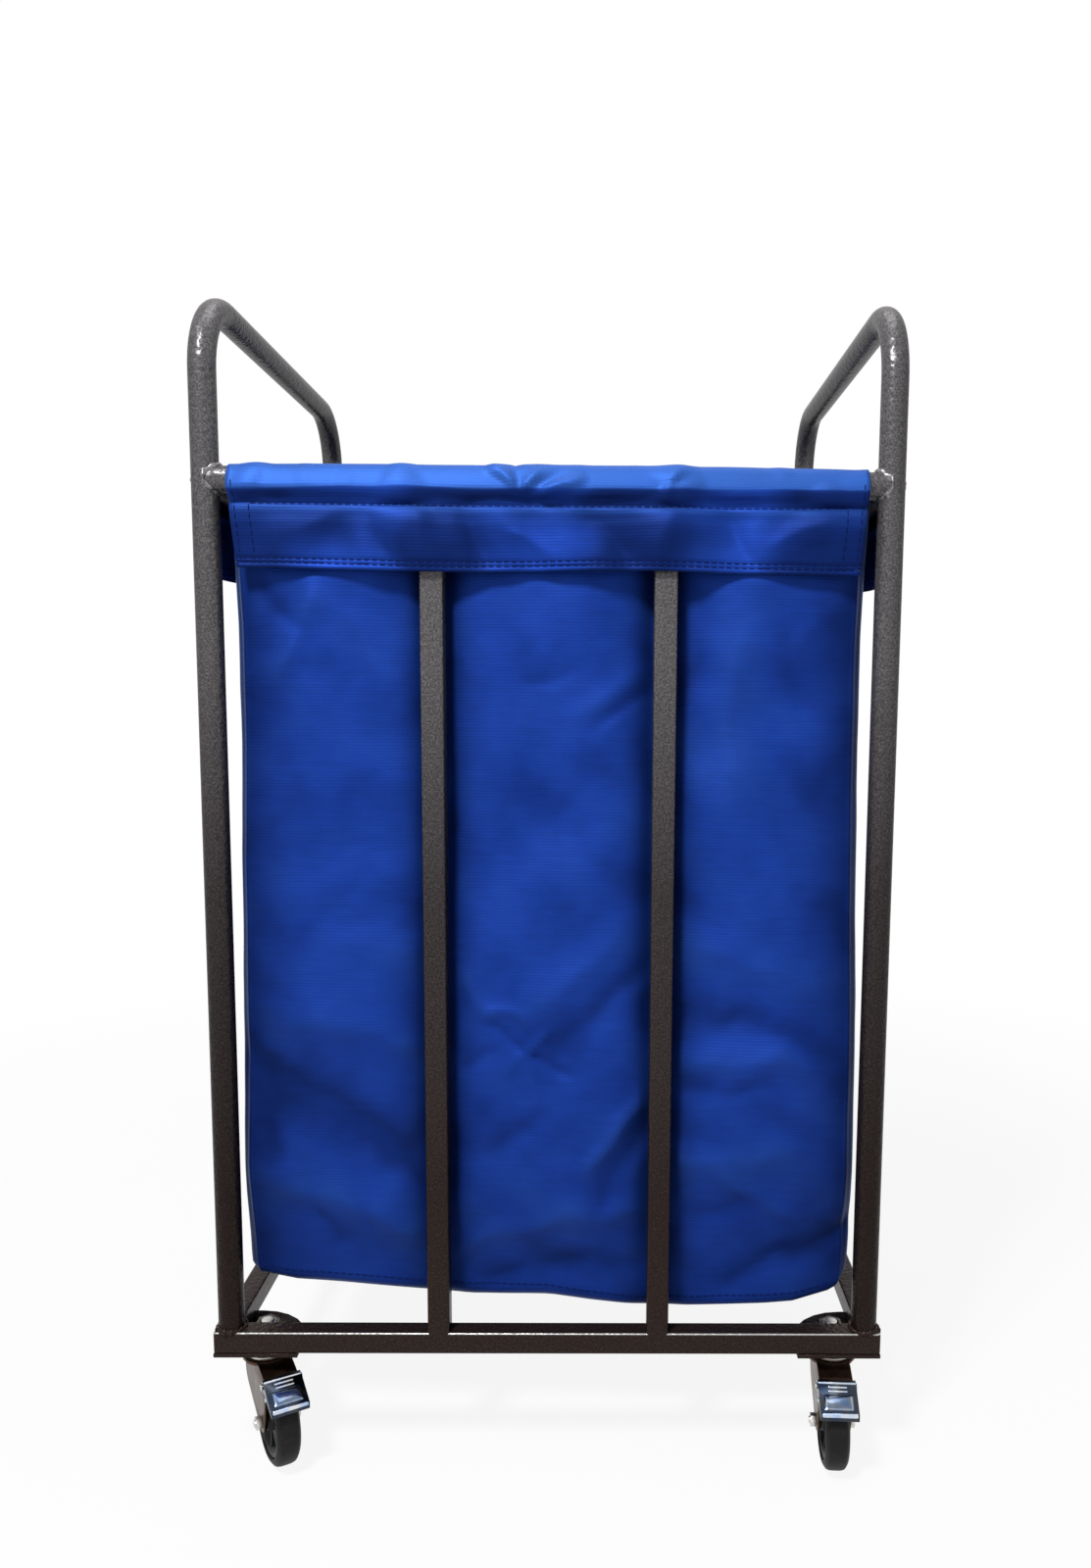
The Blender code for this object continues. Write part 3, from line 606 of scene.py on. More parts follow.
def addWeld(bm, matrix, reach, saddle=0.0, square=0.0, heavy=None, size=weldBead["size"]):
    before = set(bm.verts)
    made = bmesh.ops.create_circle(
        bm, cap_ends=False, segments=weldBead["sides"], radius=size,
        matrix=Matrix.Translation((reach, 0, 0)) @ alongY,
    )
    bmesh.ops.spin(
        bm, geom=edgesOf(made["verts"]), cent=(0, 0, 0), axis=(0, 0, 1), angle=2 * math.pi,
        steps=weldBead["steps"], use_merge=True, use_duplicate=False,
    )
    ripple, slow, fast, _ = (shake.uniform(0, 2 * math.pi) for _ in range(4))
    verts = [vert for vert in bm.verts if vert not in before]
    for vert in verts:
        turn = math.atan2(vert.co.y, vert.co.x)
        out = Vector((math.cos(turn), math.sin(turn), 0))
        core = out * reach
        swell = 1 + weldBead["depth"] * math.sin(weldBead["ripples"] * turn + ripple)
        swell += weldBead["lump"] * math.sin(3 * turn + slow) * math.sin(5 * turn + fast)
        if heavy is not None:
            share, more = weldBead["heavy"]
            swell *= share + more * max(0.0, out.dot(heavy))
        offset = (vert.co - core) * max(swell, weldBead["least"])
        if square:
            core = core / max(abs(out.x), abs(out.y)) * square
        if saddle:
            aside = min(abs(core.y + offset.y), saddle * 0.985)
            offset.z += math.sqrt(saddle ** 2 - aside ** 2)
        vert.co = core + offset
    bmesh.ops.transform(bm, matrix=matrix, verts=verts)


def makeWelds():
    beads, fillets = bmesh.new(), bmesh.new()
    bead, radius = weldBead, hoopTube["radius"]
    for signX in (-1, 1):
        for signY in (-1, 1):
            post = Matrix.Translation((signX * postX, signY * postY, rimLevel))
            across = post @ Matrix.Rotation(-signX * math.pi / 2, 4, "Y")
            outward = Vector((signX, 0, 0))
            addWeld(beads, across, radius + bead["acrossGap"], saddle=radius, heavy=outward)
            along = Matrix.Rotation(signY * math.pi / 2, 4, "X")
            along = post @ along @ Matrix.Rotation(math.pi / 2, 4, "Z")
            addWeld(beads, along, radius + bead["alongGap"], saddle=radius, size=bead["thinSize"])
            foot = Matrix.Translation((signX * postX, signY * postY, railTop + 0.0004))
            inward = Vector((-signX, -signY, 0)).normalized()
            addWeld(beads, foot, radius + bead["footGap"], heavy=inward)
            reach, size = radius + bead["filletGap"], bead["filletSize"]
            addWeld(fillets, foot, reach, heavy=-inward, size=size)
    for name, (x, y, _) in barCentres.items():
        inward = Vector((-x, 0, 0) if "side" in name else (0, -y, 0)).normalized()
        foot = Matrix.Translation((x, y, railTop))
        addWeld(beads, foot, bead["barReach"], square=bead["barHalf"], heavy=inward)
    # The beads take the painted glint; the foot fillets take the plain paint
    for name, welds, material in (
        ("weld_beads", beads, glintWeldPaint), ("foot_welds", fillets, paint)
    ):
        fixNormals(welds)
        finishPiece(name, welds, material=material, sharpAngle=70)


makeWelds()
print("welds laid")


# Turned pieces start from a profile of (along, radius) points, rounded at its corners, and are spun
def addTurned(bm, profile, axis, closed, corner=0.0, cornerSteps=3, steps=56, matrix=None):
    before = set(bm.verts)
    wire = []
    for along, radius in profile:
        wire.append(bm.verts.new((along, 0, radius) if axis == 0 else (radius, 0, along)))
    for first, second in zip(wire, wire[1:]):
        bm.edges.new((first, second))
    if closed:
        bm.edges.new((wire[-1], wire[0]))
    if corner:
        bmesh.ops.bevel(
            bm, geom=wire if closed else wire[1:-1], offset=corner, segments=cornerSteps,
            affect="VERTICES", profile=0.5, material=-1, clamp_overlap=True,
        )
    fresh = [vert for vert in bm.verts if vert not in before]
    edges = [edge for edge in bm.edges if edge.verts[0] not in before]
    spinAxis = (1, 0, 0) if axis == 0 else (0, 0, 1)
    bmesh.ops.spin(
        bm, geom=fresh + edges, cent=(0, 0, 0), axis=spinAxis, angle=2 * math.pi,
        steps=steps, use_merge=True, use_duplicate=False,
    )
    if matrix is not None:
        fresh = [vert for vert in bm.verts if vert not in before]
        bmesh.ops.transform(bm, matrix=matrix, verts=fresh)


def jointPlace(name):
    joint = next(item for item in frame["joints"] if item["name"] == name)
    axis = Vector(joint["axis"])
    turn = 0.0 if abs(axis.z) > 0.5 else math.atan2(axis.y, axis.x)
    return Matrix.Translation(joint["pos_m"]) @ Matrix.Rotation(turn, 4, "Z")


casterWheel = {
    "radius": 0.03974,
    "inner": 0.0322,
    "halfWidth": 0.0105,
    "tread": ((0, 0.0052), (0.0009, 0.0036), (0.0028, 0.0009), (0.0058, 0.0001)),
    "coreRim": 0.0313,
    "coreHalf": 0.0090,
    "rimDepths": (0.0036, 0.0068),  # under the rim, at its edge and at the web
    "webHalf": 0.0030,
    "hubRadius": 0.0085,
    "hubHalf": 0.0118,
    "hubFoot": 0.0015,
    "hubBevel": (0.002, 0.001),
    "bore": 0.0034,
    "ribs": 8,
    "ribSize": (0.0136, 0.0022, 0.0176, 1),
    "ribDrop": 0.0050,
}


def makeTyre(corner):
    size = casterWheel
    outer, half = size["radius"], size["halfWidth"]
    shoulder = [(half, size["inner"])]
    shoulder += [(half - inset, outer - drop) for inset, drop in size["tread"]]
    profile = [(-along, radius) for along, radius in shoulder] + [(0, outer)] + shoulder[::-1]
    bm = bmesh.new()
    addTurned(bm, profile, 0, True, corner=0.0009, steps=72, matrix=jointPlace(corner + "_roll"))
    fixNormals(bm)
    finishPiece(
        corner + "_tyre_rubber", bm, [corner + "_tyre"], rubber, corner + "_wheel"
    )


def makeWheelCore(corner):
    size = casterWheel
    rim, half = size["coreRim"], size["coreHalf"]
    hub, hubHalf, web = size["hubRadius"], size["hubHalf"], size["webHalf"]
    edgeDepth, webDepth = size["rimDepths"]
    back, down = size["hubBevel"]
    section = [
        (half, rim), (half, rim - edgeDepth), (web, rim - webDepth), (web, hub + size["hubFoot"]),
        (hubHalf - back, hub), (hubHalf, hub - down), (hubHalf, size["bore"]),
    ]
    profile = section[:1] + [(-along, radius) for along, radius in section] + section[:0:-1]
    bm = bmesh.new()
    addTurned(bm, profile, 0, True, corner=0.0007, cornerSteps=2)
    reach = (rim - size["ribDrop"] + hub) / 2
    for index in range(size["ribs"]):
        turn = Matrix.Rotation(2 * math.pi * index / size["ribs"], 4, "X")
        place = turn @ Matrix.Translation((0, 0, reach)) @ Matrix.Diagonal(size["ribSize"])
        made = bmesh.ops.create_cube(bm, size=1, matrix=place)
        roundEdges(bm, edgesOf(made["verts"]), 0.0006, 2)
    bmesh.ops.transform(bm, matrix=jointPlace(corner + "_roll"), verts=bm.verts)
    turnFacesOut(bm)
    finishPiece(
        corner + "_wheel_web", bm, [corner + "_wheel_core"], plastic, corner + "_wheel",
    )


stemShape = {
    "radius": 0.0059,
    "tip": (0.0006, 0.0008),  # the bevel at the tip, down and in
    "threads": 3,
    "pitch": 0.0011,
    "root": (0.0004, 0.0006),  # the thread's root, down and in
    "crest": 0.0008,
    "plateGap": 0.0003,
    "cup": 0.019,
    "cupDepth": 0.0137,
    "cupTop": ((0, -0.0052), (-0.0018, -0.0018), (-0.0052, 0)),  # up from the plate, and out
    "cupFoot": ((0.0036, 0), (0.0030, 0.0007), (0.0008, 0.0007), (0, -0.0004)),
    "kingpin": 0.0054,
    "head": 0.0088,
    "headTop": 0.0030,
    "headBevel": (0.0012, 0.0018),
}


# Threaded stem, rounded bearing cup and kingpin head, turned in one piece
def makeStem(corner):
    size = stemShape
    low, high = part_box(corner + "_stem")
    place = Matrix.Translation(((low.x + high.x) / 2, (low.y + high.y) / 2, 0))
    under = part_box(corner + "_plate")[0].z - size["plateGap"]
    thin, cup, pin, head = (size[key] for key in ("radius", "cup", "kingpin", "head"))
    foot, headTop = under - size["cupDepth"], low.z + size["headTop"]
    (tipDown, tipIn), (rootDown, rootIn) = size["tip"], size["root"]
    headUp, headIn = size["headBevel"]
    profile = [(high.z, 0), (high.z, thin - tipIn), (high.z - tipDown, thin)]
    for step in range(size["threads"]):
        level = high.z - tipDown - size["pitch"] * step
        profile += [(level - rootDown, thin - rootIn), (level - size["crest"], thin)]
    profile += [(under, thin)]
    profile += [(under + rise, cup + past) for rise, past in size["cupTop"]]
    profile += [(foot + rise, cup + past) for rise, past in size["cupFoot"]]
    profile += [
        (foot, pin), (headTop, pin), (headTop, head), (low.z + headUp, head),
        (low.z, head - headIn), (low.z, 0),
    ]
    bm = bmesh.new()
    addTurned(bm, profile, 2, False, corner=0.0003, cornerSteps=2, steps=48, matrix=place)
    fixNormals(bm)
    finishPiece(corner + "_stem_turned", bm, [corner + "_stem"], zinc)


pedalShape = {
    "halfWidth": 0.0163,
    "crest": (-0.0035, 0.0058),
    "toe": (-0.0280, -0.0085),
    "ridges": (0.15, 0.28),  # shares of the way from the crest to the toe
    "ridgeHalf": 0.0082,
    "ridgeRadius": 0.0009,
    "panel": (0.37, 0.88),
    "panelHalf": 0.0126,
    "panelRise": 0.0008,
    "panelCrown": 0.0007,
    "panelTread": (0.88, 0.8),  # the share of the panel whose painted reflection is darker
    "sunk": 0.0001,
    "bead": 0.0012,
    "rollInset": 0.0004,
    "lip": 0.0021,
    "lipDrop": 0.72,
    "lipInset": 0.0008,
    # How bright each part's painted reflection is
    "polishAndPaintedReflection": {
        "sheet": 0.1, "bead": 0.95, "ridge": 1.0, "lip": 0.97, "tread": 0.5, "panel": 0.75,
        "rivet": 0.9,
    },
    "rivet": ((0, 0.0019), (0.0007, 0.0017), (0.0011, 0.0009), (0.0012, 0)),
    "rivetPlace": (0.0164, -0.0105, -0.0062),
}


# The pressed brake pedal: the sheet, a rolled top edge, two ridges, a crowned tread panel,
# a rolled lip and a rivet on each side
def makePedal(corner):
    size = pedalShape
    node = corner + "_brake_pedal"
    bm = softened(node, 0.00045, 2)
    shine, inset = size["polishAndPaintedReflection"], size["rollInset"]
    setShares(bm, "polishAndPaintedReflection", [shine["sheet"]] * len(bm.verts))
    polishAndPaintedReflection = bm.verts.layers.float["polishAndPaintedReflection"]
    local = jointPlace(corner + "_brake_press")
    crest, toe = Vector((0, *size["crest"])), Vector((0, *size["toe"]))
    down = (toe - crest).normalized()
    up = Vector((1, 0, 0)).cross(down)
    if up.z < 0:
        up = -up
    length = (toe - crest).length
    turn = Matrix((down.cross(up), down, up)).transposed().to_4x4()
    face = local @ Matrix.Translation(crest) @ turn

    def addRoll(along, rise, half, radius, part):
        before = set(bm.verts)
        profile = [(-half, 0), (-half, radius), (half, radius), (half, 0)]
        place = face @ Matrix.Translation((0, along, rise))
        addTurned(bm, profile, 0, False, corner=0.6 * radius, steps=24, matrix=place)
        for vert in set(bm.verts) - before:
            vert[polishAndPaintedReflection] = shine[part]

    half, lip = size["halfWidth"], size["lip"]
    addRoll(inset, -inset, half, size["bead"], "bead")
    for share in size["ridges"]:
        addRoll(share * length, -size["sunk"], size["ridgeHalf"], size["ridgeRadius"], "ridge")
    addRoll(length - inset, -size["lipDrop"] * lip, half - size["lipInset"], lip, "lip")

    before = set(bm.verts)
    start, stop = size["panel"]
    treadWide, treadLong = size["panelTread"]
    bmesh.ops.create_grid(bm, x_segments=18, y_segments=14, size=1)
    for vert in set(bm.verts) - before:
        across, along = vert.co.x, vert.co.y
        rim = (1 - across ** 10) * (1 - along ** 10)
        crown = (1 - along * along) * (1 - 0.5 * across * across)
        rise = size["panelRise"] * rim + size["panelCrown"] * crown
        inner = abs(across) < treadWide and abs(along) < treadLong
        vert[polishAndPaintedReflection] = shine["tread" if inner else "panel" if rim > 0 else "sheet"]
        middle = (start + stop) / 2 + along * (stop - start) / 2
        vert.co = face @ Vector((across * size["panelHalf"], middle * length, rise - size["sunk"]))

    for sign in (-1, 1):
        before = set(bm.verts)
        x, y, z = size["rivetPlace"]
        turn = Matrix.Rotation(0 if sign > 0 else math.pi, 4, "Z")
        place = local @ Matrix.Translation((sign * x, y, z)) @ turn
        addTurned(bm, size["rivet"], 0, False, steps=16, matrix=place)
        for vert in set(bm.verts) - before:
            vert[polishAndPaintedReflection] = shine["rivet"]
    mergeDoubles(bm, 0.000005)
    turnFacesOut(bm)
    finishPiece(node + "_pressed", bm, [node], chrome, corner + "_brake")


# The other caster pieces keep their CAD shape: rounding, material, whether they swivel, and slot
softenedPieces = {
    "plate": (0.0006, paint, False, "frame_paint"),
    "stem_nut": (0.0008, shadedZinc, False, "zinc"),
    "fork": (0.0006, forkSteel, True, "fork_zinc"),
    "axle_bolt": (0.0005, zinc, True, "zinc"),
    "axle_nut": (0.0006, zinc, True, "zinc"),
    "brake_pin": (0.0005, zinc, True, "zinc"),
}

for corner in corners:
    makeTyre(corner)
    makeWheelCore(corner)
    makeStem(corner)
    makePedal(corner)
    for piece, (width, material, swivels, slot) in softenedPieces.items():
        node = corner + "_" + piece
        body = corner + "_caster" if swivels else "frame"
        finishPiece(node + "_dressed", softened(node, width, 2), [node], material, body)
print("casters made")

frontBars = (-0.0955, 0.0955)
sideBars = (0,)
barHalf = railTube["width"] / 2


def inMetres(folds):
    return [tuple(value / 1000 for value in fold) for fold in folds]


# Folds in the cloth, as (x, z, x, z, width, rise) from end to end, in millimetres.
# A valley's rise is negative
wallFolds = inMetres((
    (-236, 358, -112, 277, 28, -4.6), (-218, 408, -113, 380, 18, 2.6),
    (-221, 255, -115, 200, 22, 3.5), (-162, 226, -157, 200, 5, -1.4),
    (-203, 221, -182, 182, 8, -1.6), (-198, 546, -132, 550, 15, -0.9),
    (-191, 468, -112, 464, 18, 1.1), (-200, 762, -227, 699, 13, 2.6),
    (-239, 766, -210, 735, 12, -2), (-168, 735, -130, 687, 16, 1.6),
    (-251, 360, -229, 282, 12, -2), (88, 680, 45, 658, 7, -1.4), (74, 691, 31, 669, 10, 1),
    (-18, 688, 16, 701, 7, -0.9), (70, 437, 0, 377, 14, -3), (66, 481, -13, 412, 16, 1.7),
    (-21, 375, -48, 396, 5, -1.8), (-21, 375, -40, 353, 5, 1.6), (-19, 377, 2, 395, 5, 1.8),
    (-19, 372, 15, 360, 5, -1.8), (-20, 370, -15, 332, 6, 1.5), (-50, 408, -13, 405, 8, 1.8),
    (-76, 361, -46, 372, 8, -1.6), (78, 331, 36, 269, 10, 3), (82, 299, 41, 236, 11, -2.4),
    (-75, 190, 22, 232, 16, 2.8), (22, 232, 83, 228, 16, 2.8), (-50, 150, 22, 180, 16, -2.2),
    (22, 180, 83, 172, 16, -2.2), (-51, 282, -17, 309, 10, -1.8), (-70, 439, -50, 405, 10, 1.6),
    (113, 406, 168, 404, 17, -1.8), (168, 404, 226, 380, 17, -1.8),
    (117, 474, 228, 432, 22, 2.2), (110, 345, 195, 343, 12, -2.2), (110, 368, 228, 366, 14, 2.2),
    (111, 278, 205, 283, 18, 3.2), (158, 265, 206, 226, 12, 2.2), (115, 228, 173, 242, 14, -2.2),
    (164, 165, 212, 185, 14, -2), (212, 185, 265, 207, 14, -2), (160, 735, 150, 610, 30, 3.4),
    (194, 730, 220, 658, 14, -1.6), (122, 769, 126, 689, 13, -1.4),
))
flapFolds = inMetres((
    (-62, 851, -37, 839, 4.5, -1.6), (-48, 857, -29, 846, 4.5, 1.6),
    (-28, 859, -24, 846, 3.5, -1.4), (-10, 857, -19, 845, 4, 1.6), (5, 856, -12, 844, 4, -1.7),
    (24, 854, -6, 842, 6, 1.6), (-70, 834, 24, 836, 6, -1.4), (-145, 826, -127, 792, 12, -1.6),
    (-102, 828, -94, 793, 14, 1.4), (-64, 828, -53, 793, 10, -1.5), (-23, 809, 0, 798, 9, 1.5),
    (40, 828, 63, 794, 12, -1.6), (103, 830, 95, 794, 16, 1.5), (148, 830, 162, 795, 10, -1.5),
    (190, 800, 229, 823, 12, 1.5), (47, 837, 110, 850, 7, -1.4), (95, 841, 102, 856, 5, 1.2),
    (-204, 812, -173, 820, 12, 1.2), (220, 853, 252, 847, 9, -1.1),
))


foldLook = {
    "wander": (0.0035, 0.0018),  # how far a long and a short wave take a fold from its line
    "taper": 0.12,  # the share of its length over which each end runs out
    "endReach": 0.6,
    "narrow": 0.0095,
    "crisp": (0.60, 0.30),  # for narrow and for wide folds
    "crispFall": 2.2,
}


# How far the folds raise the cloth at each point
def foldRise(across, level, folds):
    long, short = foldLook["wander"]
    drift = long * np.sin(47 * level + 1.1) + short * np.sin(113 * level + 60 * across)
    lift = long * np.sin(52 * across + 0.6) + short * np.sin(121 * across - 70 * level)
    across, level = across + drift, level + lift
    taper, endReach = foldLook["taper"], foldLook["endReach"]
    total = np.zeros_like(across)
    for x1, z1, x2, z2, width, rise in folds:
        length = math.hypot(x2 - x1, z2 - z1)
        runX, runZ = (x2 - x1) / length, (z2 - z1) / length
        along = (across - x1) * runX + (level - z1) * runZ
        aside = (level - z1) * runX - (across - x1) * runZ
        past = along - np.clip(along, taper * length, (1 - taper) * length)
        far = np.hypot(aside, endReach * past) / width
        crisp = foldLook["crisp"][0 if width < foldLook["narrow"] else 1]
        total += rise * (1 - crisp) * np.exp(-far ** 2)
        total += rise * crisp * np.exp(-foldLook["crispFall"] * far)
    return total


# Low rumples all over the cloth: waves of many directions added up
def rumple(across, level, seed, rise, longest=0.20, shortest=0.035, count=16):
    pick = random.Random(seed)
    total = np.zeros_like(across)
    for step in range(count):
        length = longest * (shortest / longest) ** (step / (count - 1))
        heading = pick.uniform(0, math.pi)
        phase = pick.uniform(0, 2 * math.pi)
        run = across * math.cos(heading) + level * math.sin(heading)
        total += (length / longest) ** 0.9 * np.sin(2 * math.pi * run / length + phase)
    return total * rise / 2


# Folds of the builder's own making, for the sides that need no particular ones
def scatteredFolds(seed, count, halfRun, low, high):
    pick = random.Random(seed)
    folds = []
    for _ in range(count):
        x, z = pick.uniform(-halfRun, halfRun), pick.uniform(low, high)
        heading, run = pick.uniform(-0.9, 0.9), pick.uniform(0.03, 0.11)
        rise = pick.choice((-1, 1)) * pick.uniform(0.0012, 0.0032)
        width = pick.uniform(0.007, 0.018)
        folds.append((x, z, x + run * math.cos(heading), z + run * math.sin(heading), width, rise))
    return folds


def ease(values):
    values = np.clip(values, 0, 1)
    return values * values * (3 - 2 * values)


bagShape = {
    "halfWidth": 0.2666,
    "halfDepth": 0.2131,
    "bottom": 0.138,
    "cells": (66, 54, 88),  # across, deep and high
    "seamPlace": 0.2578,
    "seamWidth": 0.0016,
    "seamRise": 0.0011,
    "foldScale": 2.0,
    "broadScale": 1.9,  # for folds wider than broadFold
    "broadFold": 0.0135,
    "frontRumple": (3, 0.0017, 0.26, 0.06, 14),  # seed, rise, longest and shortest wave, waves
    "rearRumple": (5, 0.0019, 0.26, 0.06, 14),
    "leftRumple": (8, 0.0012),
    "rightRumple": (9, 0.0012),
    "bottomRumple": (13, 0.0012),
    "toneRumple": (19, 0.0015, 0.11, 0.015, 20),
    "footTuck": (0.006, 0.14),  # how far the foot draws in, and how high up that reaches
    "footHold": (0.15, 0.13),  # the share of a swell left at the foot, and where it is full
    "footLift": 0.16,  # how high up the hem's line lifts the wall
    "floorBand": 0.004,
    "cloth": 0.0012,
    "cornerRound": 0.010,
    "wallEdge": 0.022,  # how far from a corner a wall comes to its own shape
    "sideEdge": 0.03,
    "rimHold": 0.055,  # how far under the rim the folds come to their full depth
    "levels": (0.138, 0.187, 0.260, 0.350, 0.437, 0.563, 0.640, 0.735, 0.790, 0.852),
    "halfWidths": (
        0.2662, 0.2680, 0.2690, 0.2680, 0.2663, 0.2632, 0.2616, 0.2616, 0.2630, 0.2666,
    ),
    "panels": ((-0.262, -0.106), (-0.085, 0.085), (0.106, 0.262)),
    "fullness": 0.55,
    "bulgeLevels": (0.600, 0.700, 0.745, 0.775, 0.795, 0.815, 0.840),
    "frontBulges": (0.0120, 0.0135, 0.0170, 0.0190, 0.0165, 0.0095, 0.0),
    "sidePanels": ((-0.205, -0.011), (0.011, 0.205)),
    "sideFullness": 0.6,
    "sideBulge": 0.0035,
    "sideHold": 0.0020,
    "bottomPlaces": (
        -0.267, -0.226, -0.183, -0.122, -0.070, 0.0, 0.035, 0.070, 0.122, 0.192, 0.219,
        0.253, 0.267,
    ),
    "bottomLevels": (
        0.168, 0.1588, 0.1562, 0.1508, 0.1454, 0.1450, 0.1405, 0.1370, 0.1348, 0.1368, 0.1387,
        0.149, 0.162,
    ),
    "bottomSag": 0.006,
    "barBack": 0.2166,
    "sideBarInside": 0.2698,
    "besideBar": 0.019,  # how far from a bar the cloth is shaded
    "cornerShade": (1.15, 0.042),  # how dark the cloth is at a corner, and how far that reaches
    "valleyShade": (120, 0.9),  # for a metre of depth, and at most
    "crestLight": (34, 0.24),
}
broadFolds = [fold for fold in wallFolds if fold[4] > bagShape["broadFold"]]
fineFolds = [fold for fold in wallFolds if fold[4] <= bagShape["broadFold"]]
otherFolds = {
    "rear": scatteredFolds(11, 26, 0.22, 0.18, 0.76),
    "left": scatteredFolds(23, 22, 0.18, 0.18, 0.76),
    "right": scatteredFolds(31, 22, 0.18, 0.18, 0.76),
}


# Cloth between bars swells outward, and lies back against them
def bulgeBetween(across, stops):
    total = np.zeros_like(across)
    for low, high in stops:
        share = np.clip((across - low) / (high - low), 0, 1)
        total += 4 * share * (1 - share)
    return total


# Cloth that would cut into the bars' backs is laid against them
def keepBehind(out, across, bars, limit):
    blend = 0.0009
    for bar in bars:
        beside = np.clip(np.abs(across - bar) - barHalf - 0.0008, 0, None)
        out = -blend * np.logaddexp(-out / blend, -(limit + 1.3 * beside) / blend)
    return out


def frontFolds(x, z):
    broad, fine = foldRise(x, z, broadFolds), foldRise(x, z, fineFolds)
    return broad * bagShape["broadScale"] + fine * bagShape["foldScale"]


# Takes points of a plain open box to the hung bag
def hangBag(points):
    size = bagShape
    wide, deep, bottom = size["halfWidth"], size["halfDepth"], size["bottom"]
    x, y, z = points.T
    signX, signY = np.sign(x), np.sign(y)
    nearFront = ease(1 + (np.abs(y) - deep) / size["wallEdge"])
    nearSide = ease(1 + (np.abs(x) - wide) / size["wallEdge"])
    low = ease(1 - (z - bottom) / size["floorBand"])
    high = ease((rimLevel - z) / size["rimHold"])
    (held, holdReach), (tuck, tuckReach) = size["footHold"], size["footTuck"]
    foot = held + (1 - held) * ease((z - bottom) / holdReach)

    corner = size["cornerRound"]
    inside = np.stack((
        np.clip(x, corner - wide, wide - corner),
        np.clip(y, corner - deep, deep - corner),
        np.maximum(z, bottom + corner),
    ), axis=1)
    away = points - inside
    far = np.linalg.norm(away, axis=1, keepdims=True)
    rounded = np.where(far > 0, inside + away / np.where(far > 0, far, 1) * corner, points)
    u, v, w = rounded.T

    bulge = np.interp(z, size["bulgeLevels"], size["frontBulges"]) * foot
    swell = bulgeBetween(x, size["panels"]) ** size["fullness"] * bulge
    frontRise = frontFolds(x, z) + rumple(x, z, *size["frontRumple"])
    rearRise = foldRise(x, z, otherFolds["rear"]) * size["foldScale"]
    rearRise += rumple(x, z, *size["rearRumple"])
    rise = np.where(signY < 0, frontRise, rearRise) * high
    rise += size["seamRise"] * np.exp(-((np.abs(x) - size["seamPlace"]) / size["seamWidth"]) ** 2)
    rise -= tuck * (1 - ease((z - bottom) / tuckReach))
    out = keepBehind(deep + swell + rise, x, frontBars, size["barBack"])
    v = v + signY * nearFront * (out - deep)

    leftRise = foldRise(y, z, otherFolds["left"]) + rumple(y, z, *size["leftRumple"])
    rightRise = foldRise(y, z, otherFolds["right"]) + rumple(y, z, *size["rightRumple"])
    swell = bulgeBetween(y, size["sidePanels"]) ** size["sideFullness"] * size["sideBulge"] * foot
    rise = (swell + np.where(signX < 0, leftRise, rightRise) - size["sideHold"]) * high
    slim = np.interp(z, size["levels"], size["halfWidths"])
    out = slim + rise * ease((deep - np.abs(y)) / size["sideEdge"])
    out = keepBehind(out, y, sideBars, size["sideBarInside"])
    u = u * slim / wide + signX * nearSide * (out - slim)

    front = np.interp(x, size["bottomPlaces"], size["bottomLevels"])
    rear = np.interp(-x, size["bottomPlaces"], size["bottomLevels"])
    share = (y + deep) / (2 * deep)
    lift = front * (1 - share) + rear * share - bottom
    w = w + lift * ease(1 - (z - bottom) / size["footLift"])
    middle = (1 - (x / wide) ** 2) * (1 - (y / deep) ** 2)
    w = w - low * middle * (size["bottomSag"] + rumple(x, y, *size["bottomRumple"]))
    return np.stack((u, v, w), axis=1)


def vertPoints(bm):
    return np.array([vert.co for vert in bm.verts])


def placeVerts(bm, places):
    for vert, place in zip(bm.verts, places):
        vert.co = place


def cutAlong(bm, axis, cuts):
    runs = {edge: (edge.verts[0].co - edge.verts[1].co).normalized() for edge in bm.edges}
    edges = [edge for edge, run in runs.items() if abs(run[axis]) > 0.9]
    bmesh.ops.subdivide_edges(bm, edges=edges, cuts=cuts)


def addWall(piece, thickness, offset):
    wall = piece.modifiers.new("cloth", "SOLIDIFY")
    wall.thickness = thickness
    wall.offset = offset
    wall.use_even_offset = False


# Painted shade on the cloth, darkest beside the bars, towards the bag's corners, in its folds and
# in waves of its own, and a painted highlight on the crests
def wallTones(points):
    size = bagShape
    x, y, z = points.T
    onEnd = np.abs(y) > size["halfDepth"] - 0.0001
    beside = np.where(onEnd, np.abs(np.abs(x) - frontBars[1]), np.abs(y)) - barHalf
    fromCorner = np.where(onEnd, size["halfWidth"] - np.abs(x), size["halfDepth"] - np.abs(y))
    cornerDark, cornerReach = size["cornerShade"]
    paintedShade = np.exp(-(np.clip(beside, 0, None) / size["besideBar"]) ** 2)
    paintedShade = np.maximum(paintedShade, cornerDark * np.exp(-(fromCorner / cornerReach) ** 2))
    rise = frontFolds(x, z) * (onEnd & (y < 0))
    rise += rumple(x + 1.3 * y, z, *size["toneRumple"])
    dark, darkest = size["valleyShade"]
    light, lightest = size["crestLight"]
    paintedShade += np.clip(-dark * rise, 0, darkest)
    return np.clip(paintedShade, 0, 1.25), np.clip(light * rise, 0, lightest)


